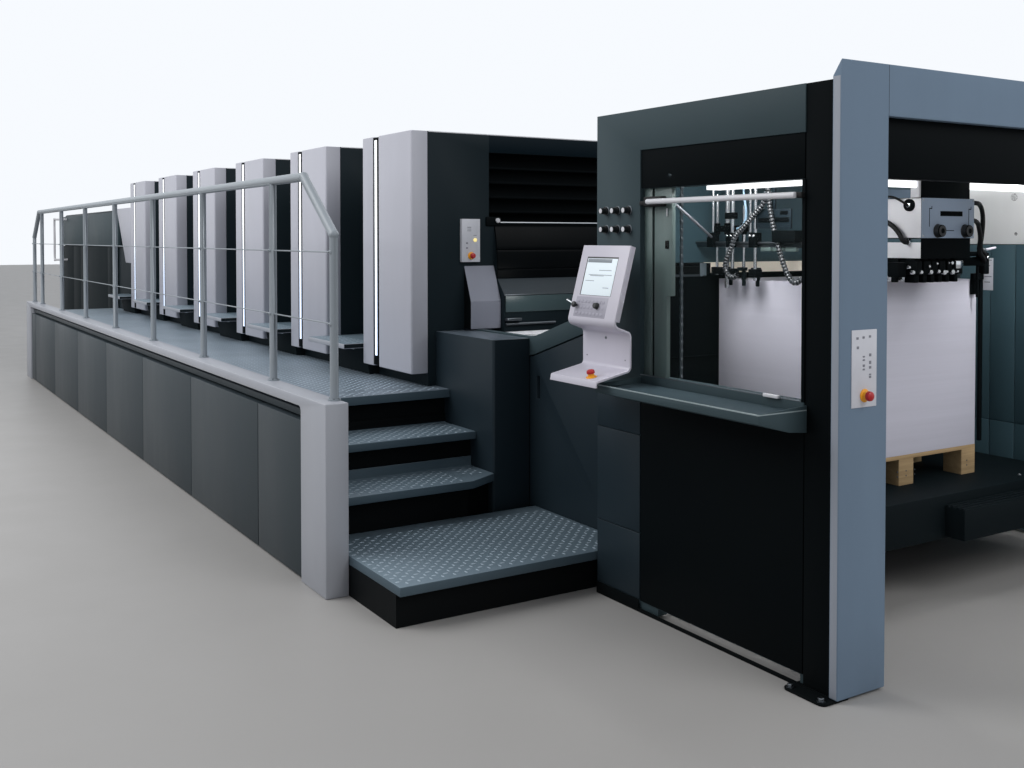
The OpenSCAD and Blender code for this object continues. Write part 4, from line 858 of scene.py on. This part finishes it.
def dress_head():
    """Faces, knobs, suckers and fittings of the suction head."""
    face = front_plane(HEAD_X, -201, 1570)
    fitted("head_face", [placed(slab((1, 1, -1), (358, 173, 1.6), 1.2), **face)], "face_enamel")
    fitted("head_side", [slab((6491, -202.4, 1572), (6768, -200, 1742), 0.8)], "white_paint")
    fitted("head_lower_side", [slab((6512, -193, 1484), (6760, -190, 1552), 0.8)], "white_paint")
    fitted("head_lower_trim", [slab((6512, -192.4, 1552), (6760, -190, 1569), 0.8)], "teal_panel")
    marks = [slab((124, 96, -1), (276, 118, 2.4), 1), slab((152, 32, 0), (218, 35, 2.2), 0.4)]
    for x in (50, 318):
        marks += [slab((x, 50, 0), (x + 3.4, 126, 2.2), 0.4), slab((x, 126, 0), (x + 19, 130, 2.2), 0.4),
                  slab((x + 15, 127, 0), (x + 19, 139, 2.2), 0.4)]
    fitted("head_face_marks", [placed(joined(marks), **face)], "black_panel")
    knobs = []
    for x in (107.7, 294.3):
        knob = turned([(30, 1), (30, 3), (27.5, 5), (26.6, 22), (23, 27), (12, 28), (11, 24), (2, 23.8)], 28)
        knobs.append(placed(knob, (x, 32, 0)))
    fitted("head_knobs", [placed(joined(knobs), **face)], "black_plastic")
    screws = [placed(turned([(4, 1), (4, 2.6), (2.6, 3.6), (0.6, 3.7)], 12), (x, y, 0))
              for x, y in ((10, 10), (349, 10), (10, 164), (349, 164))]
    fitted("head_screws", [placed(joined(screws), **face)], "chrome")
    cups, sleeves, stems = [], [], []
    for x in (6549, 6619):
        for y in (-165, -65, 35, 110):
            cup = turned([(17, 0), (16, 2), (12.5, 4), (15, 7), (11, 10), (13.5, 13), (9, 16), (9, 20)], 20)
            cups.append(placed(cup, (x, y, 1385)))
            sleeve = turned([(9, 0), (13, 1), (13, 9), (11, 10), (11, 13), (13, 14), (13, 22), (11, 23),
                             (11, 26), (13, 27), (13, 38), (9, 40)], 20)
            sleeves.append(placed(sleeve, (x, y, 1408)))
            stems.append(rod((x, y, 1404), (x, y, 1484), 6.5, 12))
    fitted("sucker_cups", cups, "black_rubber", stands_for=("suckers",))
    fitted("sucker_sleeves", sleeves, "chrome")
    fitted("sucker_stems", stems, "dark_steel")
    blocks = [slab((6650, y0, 1412), (6738, y1, 1474), 5, 3)
              for y0, y1 in ((-186, -150), (-140, -92), (-84, -44), (-34, 8), (20, 56), (66, 128))]
    blocks += [slab((6526, -190, 1440), (6644, -44, 1483.5), 4), slab((6526, 14, 1440), (6644, 132, 1483.5), 4)]
    for y in (-168, -116, -64, -13, 38, 97):
        blocks.append(slab((6668, y - 13, 1377), (6726, y + 13, 1416), 4, 3))
        blocks.append(slab((6680, y - 18, 1466), (6726, y + 18, 1484), 2))
    blocks += [slab((6646, -264, 1402), (6704, -212, 1466), 5, 3), slab((6656, -226, 1436), (6692, -180, 1462), 3),
               slab((6660, -258, 1380), (6684, -236, 1404), 3, 3)]
    fitted("head_valves", blocks, "black_metal")
    glints = [rod((6736, y, z), (6752, y, z), r, 14, 2)
              for y, z, r in ((-248, 1446, 6), (-222, 1424, 9), (-168, 1424, 8), (-116, 1448, 6), (-104, 1424, 10),
                              (-64, 1460, 5), (-52, 1426, 8), (-13, 1421, 11), (2, 1424, 7), (38, 1462, 8),
                              (44, 1422, 11), (76, 1424, 6))]
    glints += [slab((6738, 72, 1436), (6744, 122, 1471), 3), slab((6738, 24, 1458), (6742, 54, 1466), 1.5)]
    fitted("head_glints", glints, "chrome")
    ring = turned([(27, 0), (27, 9), (22, 11), (21, 7), (10, 7)], 28)
    place = side_plane(6711, -201.5, 1713)
    fitted("head_connector", [placed(ring, **place)], "black_metal")
    crown = turned([(12, 6), (12, 14), (8, 16), (1, 16)], 20)
    fitted("head_connector_core", [placed(crown, **place)], "chrome")
    fittings = [rod(start, end, 15, 18, 2)
                for start, end in (((6740, 157.5, 1728), (6740, 176, 1728)), ((6740, 157.5, 1650), (6740, 174, 1650)),
                                   ((6700, -191, 1556), (6700, -206, 1556)))]
    fitted("hose_fittings", fittings, "chrome")
    fitted("hanger_side", [slab((6722, -212, 1744), (6765.5, -200.5, 1956), 1)], "white_paint")
    fitted("hanger_front", [slab((6722, -200.5, 1744), (6768, 129, 1960), 2)], "black_metal")
    lights = [slab((6744, -1158, 1785), (6757, -213, 1815), 4), slab((6744, 131, 1785), (6757, 1217, 1815), 4)]
    fitted("head_beam_light", lights, "light_diffuser")


def dress_guides():
    """Rods, clamps and rear stops that keep the pile in line, on both sides of it."""
    bars = [rod((x, GUIDE_Y, low), (x, GUIDE_Y, high), radius, sides)
            for x, low, high, radius, sides in ((5950, 1335, 2043.5, 11, 20), (6060, 1356, 1722, 8, 16),
                                                (5880, 1396, 1781, 7, 16))]
    clamps = [slab((5866, -563, 1600), (6076, -527, 1630), 3, 3), slab((5860, -566, 1399), (5974, -524, 1433), 3, 3)]
    clamps += [rod((x, GUIDE_Y, 1588), (x, GUIDE_Y, 1642), 15, 18, 2) for x in (5880, 5950, 6060)]
    stop = [slab((6551, -524, 601), (6565, -502, 1462), 2), slab((6551, -534, 1400), (6590, -496, 1502), 4, 3),
            slab((6555, -522, 1486), (6585, -190, 1508), 3), slab((6548.5, -484, 1303), (6556, -446, 1378), 2, 2),
            slab((6549, -520, 1372), (6572, -446, 1404), 3), rod((6576, -462, 1290), (6576, -462, 1496), 7),
            slab((6560, -502, 1440), (6588, -196, 1482), 4)]
    screws = [rod((6590, -515, 1478), (6600, -515, 1478), 8, 18, 2), rod((6570, -515, 1500), (6570, -515, 1524), 9, 18, 2)]
    both_sides("guide_rods", bars, "chrome")
    both_sides("guide_clamps", clamps + stop, "black_metal", ("pile_guides",))
    both_sides("guide_screws", screws, "chrome")
    both_sides("guide_levers", [rod((6574, -530, 1516), (6586, -588, 1526), 6, 14, 2)], "console_paint")


# Places where the hoses and cables end, in millimetres
HEAD_AT = Vector((6769, 158.3, 1482))
HEAD_SIDE_AT = Vector((6769, -201.3, 1482))
RODS_AT = Vector((5950.3, -545.3, 1375))
ROOF_Z = 2043.7


def roof_route(place, points):
    """Points of a route that comes straight down from the roof and goes on by offsets from a place."""
    first = place + Vector(points[0])
    return [Vector((first.x, first.y, ROOF_Z))] + [place + Vector(p) for p in points]


def dress_hoses():
    """The hoses and cables, along the routes of the solids that they stand for."""
    smooth = [
        [HEAD_AT + Vector(p) for p in ((-29, 0, 246), (-29, 50, 246), (-60, 130, 236), (-80, 176, 200), (-92, 196, 150),
                                       (-110, 214, 96), (-140, 250, 46), (-172, 318, 22))]
        + [Vector((6590, 498, 1488))],
        [HEAD_AT + Vector(p) for p in ((-29, 0, 168), (-29, 20, 168), (-60, 110, 158), (-84, 158, 132), (-100, 190, 90),
                                       (-130, 226, 34), (-165, 300, 0))]
        + [Vector((6588, 498, 1462))],
        roof_route(HEAD_SIDE_AT, [(-349, -129, 418), (-319, -107, 288), (-249, -71, 208), (-169, -49, 170),
                                  (-119, -39, 143), (-87, -33, 108), (-69, -24, 74), (-69, 10, 74)])]
    ribbed = [
        [Vector((x, -620, z)) for x, z in ((6300, 2043.6), (6294, 1860), (6266, 1736), (6199, 1673), (6132, 1618),
                                           (6080, 1577), (6062, 1536), (6033, 1486), (6017, 1444), (6034, 1405),
                                           (6069, 1390), (6100, 1404))],
        [Vector((x, -620, z)) for x, z in ((6282, 2043.6), (6286, 1860), (6294, 1743), (6306, 1679), (6328, 1600),
                                           (6355, 1522), (6386, 1452), (6418, 1398), (6449, 1378), (6490, 1392))]
        + [Vector((6532, -585, 1425)), Vector((6560, -536, 1436))]]
    cables = [
        roof_route(HEAD_SIDE_AT, [(-269, -43, 478), (-264, -43, 418), (-229, -41, 318), (-169, -37, 274),
                                  (-116, -31, 265), (-79, -25, 246), (-58, -14, 231), (-58, 0, 231)]),
        roof_route(RODS_AT, [(162, -59, 485), (174, -59, 379), (184, -58, 315), (170, -55, 265),
                             (135, -51, 243), (112, -44, 239), (112, -18, 239)])]
    fitted("smooth_hoses", [curve_through(route, 10.4) for route in smooth], "black_rubber",
           stands_for=("head_hoses",))
    fitted("ribbed_hoses", [curve_through(route, 10.0) for route in ribbed], "ribbed_black")
    # The ribs are real; their grey, lighter than the hose, is a painted sheen for the glints on them.
    fitted("hose_ribs", [rib for route in ribbed for rib in ribs_along(route, 10.0, 15.5)], "rib_grey")
    fitted("head_cable", [curve_through(cables[0], 5.2)], "black_rubber")
    fitted("rod_cable", [curve_through(cables[1], 5.2)], "cable_blue")


def dress_inside():
    """Rods, carriers and nozzles over the pile, seen through the window."""
    rods = [rod((x, -600, z), (x, -600, 2043), r, 14)
            for x, z, r in ((5912, 1600, 7), (6043, 1392, 9), (6158, 1560, 6), (6190, 1378, 8))]
    fitted("front_rods", rods, "chrome")
    rails = [rod((5700, -600, 1548), (6484, -600, 1548), 7, 14), slab((5620, -596, 1528), (6484, -588, 1542), 1.5)]
    fitted("front_rail", rails, "dark_steel")
    carriers = [slab((x - 22, -622, 1528), (x + 22, -580, 1596), 3, 3) for x in CARRIER_X]
    carriers += [slab((x - 24, -620, 1392), (x + 24, -578, 1430), 3, 3) for x in CARRIER_X[1:]]
    carriers.append(slab((6000, -610, 1660), (6068, -590, 1690), 2.5))
    fitted("rod_carriers", carriers, "black_metal")
    heads = [rod((x + dx, -628, 1581), (x + dx, -620, 1581), 7, 16, 1.5) for x in CARRIER_X for dx in (-12, 13)]
    fitted("carrier_screws", heads, "chrome")
    nozzles = []
    for x in (5999, 6086, 6174):
        nozzle = turned([(7, 0), (9, 3), (9, 26), (12, 30), (12, 62), (6, 74)], 18)
        nozzles.append(placed(nozzle, (x, -568, 1350)))
        nozzles.append(slab((x - 16, -596, 1420), (x + 16, -560, 1436), 2))
    fitted("front_nozzles", nozzles, "board_metal")
    fitted("window_stay", [rod((6392, -1238, 1706), (5912, -606, 1574), 6, 16)], "frame_paint")
    hanger = [slab((6201, -604, 1612), (6408, -592, 1700), 2), slab((6296, -604, 1698), (6312, -592, 2043), 1.5)]
    fitted("slot_plate", hanger, "dark_panel")
    box = [slab((6330, -640, 1552), (6466, -588, 1604), 4, 3), slab((6214, -606.6, 1640), (6400, -603, 1662), 1.2),
           slab((6348, -606.6, 1674), (6392, -603, 1690), 1.2)]
    fitted("sensor_box", box, "black_metal")
    # The cream bar glows: painted light for the light falling on it from the strip above.
    fitted("front_bar", [slab((5777, -540, 1402), (5828.5, 540, 1453), 3, 3)], "cream_bar")
    screens = [slab((5799, -1017, 1001), (5801.5, 1017, 1386), 1), slab((5781, -1017, 744), (5783, 1017, 999), 1),
               slab((5826, -564, 1386), (5827.5, 564, 1450), 0.5)]
    fitted("table_front", screens, "black_panel")
    fitted("rear_panel", [slab((5785, -1000, 1453), (5795, 1216, 2040), 1)], "teal_panel")
    fitted("rear_door", [slab((5794, 120, 1500), (5798, 1000, 1840), 1)], "blue_grey_paint")
    blocks = [slab((x, -606, 1512), (x + 62, -586, 1530), 2) for x in (6230, 6304, 6378)]
    fitted("rail_blocks", blocks, "stile_paint")


def dress_drive_wall():
    """Panels, light, label plate and fittings on the inside of the drive side."""
    fitted("wall_upper_panel", [slab((5455, 1219, 1884), (7050, 1226.5, 2040), 1.5)], "pale_panel")
    fitted("wall_far_light", [slab((5456, 1182, 1850), (5917, 1226, 1879), 3)], "light_diffuser")
    fitted("lining_label", [slab((6086, 1215, 1286), (6146, 1217.8, 1462), 1)], "white_plate")
    marks = [slab((6094, 1214, 1448 - 30 * k), (6138 - 9 * (k % 3), 1215.4, 1453 - 30 * k), 0.4) for k in range(5)]
    fitted("lining_label_marks", marks, "grey_mark")
    rings = []
    for x, z, r in ((6266, 1790, 20), (6278, 1594, 9), (5900, 1752, 30)):
        ring = turned([(r, 0), (r, 5), (r * 0.8, 8), (r * 0.6, 8), (r * 0.5, 4), (r * 0.1, 4)], 24)
        rings.append(placed(ring, (x, 1216, z), (-1, 0, 0), (0, 0, 1)))
    fitted("lining_fittings", rings, "black_metal")


def paint_recess_shade(node, x):
    """Blackens the faces inside the upper opening of a unit, between its cheeks: painted shade of the deep opening."""
    paint_faces(node, "black_panel",
                lambda at, normal: x - 400 < at.x < x - 4 and abs(at.y) < 942 and 1600 < at.z < 2070)


def dress_unit_plate():
    """Marks, lamp and emergency button of the plate on the first unit."""
    face = front_plane(UNIT_X[0] + 25.3, -1131, 1435)
    marks = [slab((34, y, -0.6), (60, y + high, 0.7), 0.25) for y, high in ((196, 4), (186, 3), (176, 3))]
    marks += [slab((26, 104, -0.6), (38, 112, 1.6), 0.5), slab((26, 76, -0.6), (38, 84, 1.6), 0.5),
              slab((74, 150, -0.6), (96, 153, 0.7), 0.25)]
    fitted("unit_plate_marks", [placed(joined(marks), **face)], "grey_mark")
    lamp = placed(turned([(11, -1), (11, 3), (8, 6), (1, 7)], 20), (85, 125, 0))
    fitted("unit_plate_lamp", [placed(lamp, **face)], "lamp_amber")
    place = front_plane(UNIT_X[0] + 25.3, -1072, 1471)
    collar, head = stop_button(16)
    fitted("unit_stop_collar", [placed(collar, **place)], "stop_yellow")
    fitted("unit_stop_head", [placed(head, **place)], "stop_red")


def dress_units():
    """Guards, bars, headers and lit door strips of the printing units, with painted highlights: a white strip along
    each unit's top edge and a white cap on the first drum.
    """
    bands, edges, bars, blocks, discs, headers, top_highlights, guides, fittings, grooves, strips = ([] for _ in range(11))
    slope = Vector((34 - 112, 0, 91)).normalized()
    for x in UNIT_X:
        band = slab((-903, 1.5, -2), (903, 118.4, 1.2), 1)
        bands.append(placed(band, (x + 112, 0, 1246), (0, 1, 0), slope))
        edges.append(slab((x + 107, -903, 1242), (x + 114, 903, 1247.5), 1.4))
        bars.append(rod((x - 26, -866, 1661), (x - 26, 866, 1661), 7))
        for side in (-1, 1):
            near, far = sorted((side * 962, side * 866))
            blocks.append(slab((x - 40, near, 1641), (x + 11, far, 1694), 5, 3))
            discs.append(placed(turned([(14, -1), (14, 7), (12, 10), (2, 10.4)]), **front_plane(x + 11, side * 888, 1673)))
        headers.append(slab((x - 1, -938, 2066), (x + 1.2, 938, 2160), 0.5))
        # Painted highlight: a white strip along the unit's top edge for the light caught on it.
        top_highlights.append(slab((x - 7, -1331, 2163), (x + 1.6, 1331, 2170), 2.6, 3))
        # Sheet guides behind the bands: real plates whose lighter green-grey is partly a painted reflection.
        guides.append(slab((x + 119.5, -899, 1148), (x + 121.5, 899, 1240), 0.6))
        fittings += [slab((x + 114, -902, 1098), (x + 146, -804, 1114), 4, 3),
                     rod((x + 122, -898, 1078), (x + 122, -560, 1078), 9, 18)]
        grooves.append(slab((x - 500.6, -1439, 822), (x - 433.4, -1394, 2163), 1))
        strips.append(slab((x - 477, -1440.6, 878), (x - 449, -1437, 2147), 0.8))
    for name, parts, finish in (("guard_bands", bands, "band_enamel"), ("band_edges", edges, "dark_steel"),
                                ("guard_bar_blocks", blocks, "black_metal"), ("guard_knobs", discs, "white_paint"),
                                ("unit_headers", headers, "header_blue"), ("unit_top_painted_highlights", top_highlights, "white_paint"),
                                ("sheet_guides", guides, "guide_sheet"), ("guide_fittings", fittings, "dark_steel")):
        fitted(name, parts, finish)
    fitted("guard_bars", bars, "chrome", stands_for=("guard_rods",))
    both_sides("door_grooves", grooves, "black_panel")
    strip = joined(strips)
    fitted("door_lights", [strip, mirrored(strip)], "light_diffuser", stands_for=("light_bars",))
    # Painted highlight: a white cap over the top of the first drum for the light that it reflects.
    sheet = turned([(173, 0), (175.2, 0.5), (175.2, 2029.5), (173, 2030)], 96)
    with edited(placed(sheet, **side_plane(4680, 1015, 876))):
        bpy.ops.mesh.bisect(plane_co=(4.68, 0, 1.0), plane_no=(0, 0, 1), use_fill=True, clear_inner=True)
    fitted("drum_painted_highlight", [sheet], "white_paint")
    for number, x in enumerate(UNIT_X, 1):
        paint_recess_shade("printing_unit_%d" % number, x)
    # Painted shade: the guard's side faces are blackened for the shadow on them.
    paint_faces("cabinet_guard", "black_panel", lambda at, normal: abs(normal.y) > 0.8)
    # Painted highlight: the cabinet's top faces get their own, shinier paint for the light on them.
    paint_faces("side_cabinet", "cabinet_top", lambda at, normal: normal.z > 0.8)
    smooth(dressed["cabinet_guard"], CREASE_ANGLE)


def open_corners(piece, chosen):
    """Opens a piece for editing with only those corners selected whose place, in millimetres, is chosen."""
    only(piece)
    bpy.ops.object.mode_set(mode="EDIT")
    bpy.ops.mesh.select_mode(type="VERT")
    bpy.ops.mesh.select_all(action="DESELECT")
    bpy.ops.object.mode_set(mode="OBJECT")
    for corner in piece.data.vertices:
        corner.select = chosen(corner.co / MM)
    bpy.ops.object.mode_set(mode="EDIT")


def fit_rails():
    """The railings, their rods drawn in to the size of taut wires and the top tube a little higher."""
    for node, side in (("railing_os", -1), ("railing_ds", 1)):
        piece = stand_in(node)
        for middle, reach, lift, share in RAIL_MOVES:
            open_corners(piece, lambda at: abs(at.z - middle) < reach)
            if share < 1:
                bpy.ops.transform.resize(value=(1.0, share, share),
                                         center_override=(0, side * RAIL_Y * MM, middle * MM))
            bpy.ops.transform.translate(value=(0, 0, lift * MM))
            bpy.ops.object.mode_set(mode="OBJECT")
        smooth(piece)
        take_over(piece, node)


def slim_chains():
    """The hoist's chains and shaft, each strand drawn in to the width of its links."""
    piece = stand_in("hoist_chains")
    for y in (-CHAIN_Y, CHAIN_Y):
        open_corners(piece, lambda at: abs(at.y - y) < 9 and abs(at.x - CHAIN_X) < 13 and at.z < CHAIN_TOP_Z)
        bpy.ops.transform.resize(value=(0.55, 0.7, 1.0), center_override=(CHAIN_X * MM, y * MM, 1.0))
        bpy.ops.object.mode_set(mode="OBJECT")
    take_over(piece, "hoist_chains")


def dress_gallery():
    """Clamps and flange screws of the railings, the loop on the delivery and the brackets of the step plates."""
    clamps, screws = [], []
    for x in POST_X:
        for z in WIRE_Z:
            clamps.append(slab((x - 10, -2294, z - 8), (x + 10, -2264, z + 8), 4))
            screws.append(rod((x, -2297, z), (x, -2293, z), 4, 10))
        for dx, dy in ((-21, -12), (21, -12), (-21, 12), (21, 12)):
            bolt = turned([(5, 0), (5, 2), (3.6, 3.4), (0.6, 3.5)], 8)
            screws.append(placed(bolt, (x + dx, dy - RAIL_Y, 860)))
    both_sides("rail_clamps", clamps, "rail_paint")
    both_sides("rail_screws", screws, "dark_steel")
    loop = [(-6860, -1334, 1841), (-6870, -1490, 1841), (-7110, -1500, 1838), (-7125, -1500, 1815),
            (-7125, -1500, 1550), (-7125, -1500, 1288), (-7110, -1500, 1265), (-6870, -1490, 1262), (-6860, -1334, 1262)]
    fitted("delivery_grab_loop", [curve_through(loop, 15)], "white_paint")
    paint_faces("step_plates", "deep_panel", lambda at, normal: at.z < STEP_LIP_Z)
    paint_faces("step_plates", "frame_paint", lambda at, normal: at.z > STEP_TOP_Z and normal.z < 0.5)
    paint_faces("delivery_doors", "deep_panel", lambda at, normal: True)
    brackets = []
    for near in [x - UNIT_LENGTH for x in UNIT_X[:5]]:
        brackets += [slab((near - 12, -1500, 905), (near - 1, -1424, 934.5), 2),
                     slab((near - 60, -1500, 900), (near - 1, -1494, 930), 1.5)]
    both_sides("step_brackets", brackets, "rail_paint")


def dress_pile():
    """Nails of the pallet and screws of the lifting board, which ride with it."""
    nails = [placed(turned([(4, -1), (4, 0.8), (0.6, 1.1)], 8), **front_plane(6545, y, z))
             for y in (-440, -60, 0, 60, 440) for z in (488, 510)]
    fitted("pallet_nails", nails, "dark_steel", "pile_lift")
    screws = [placed(turned([(9, 0), (9, 4), (6, 7), (1, 7)], 6), (6700, y, 446)) for y in (-860, -620, 620, 860)]
    fitted("board_screws", screws, "dark_steel", "pile_lift")


dress_steps()
dress_console()
dress_portal()
dress_feeder_side()
dress_head()
dress_guides()
dress_hoses()
dress_inside()
dress_drive_wall()
dress_unit_plate()
dress_units()
slim_chains()
fit_rails()
dress_gallery()
dress_pile()
add_floor()
add_lights()
add_camera()
bpy.context.scene.view_settings.view_transform = "Standard"

bpy.context.view_layer.update()
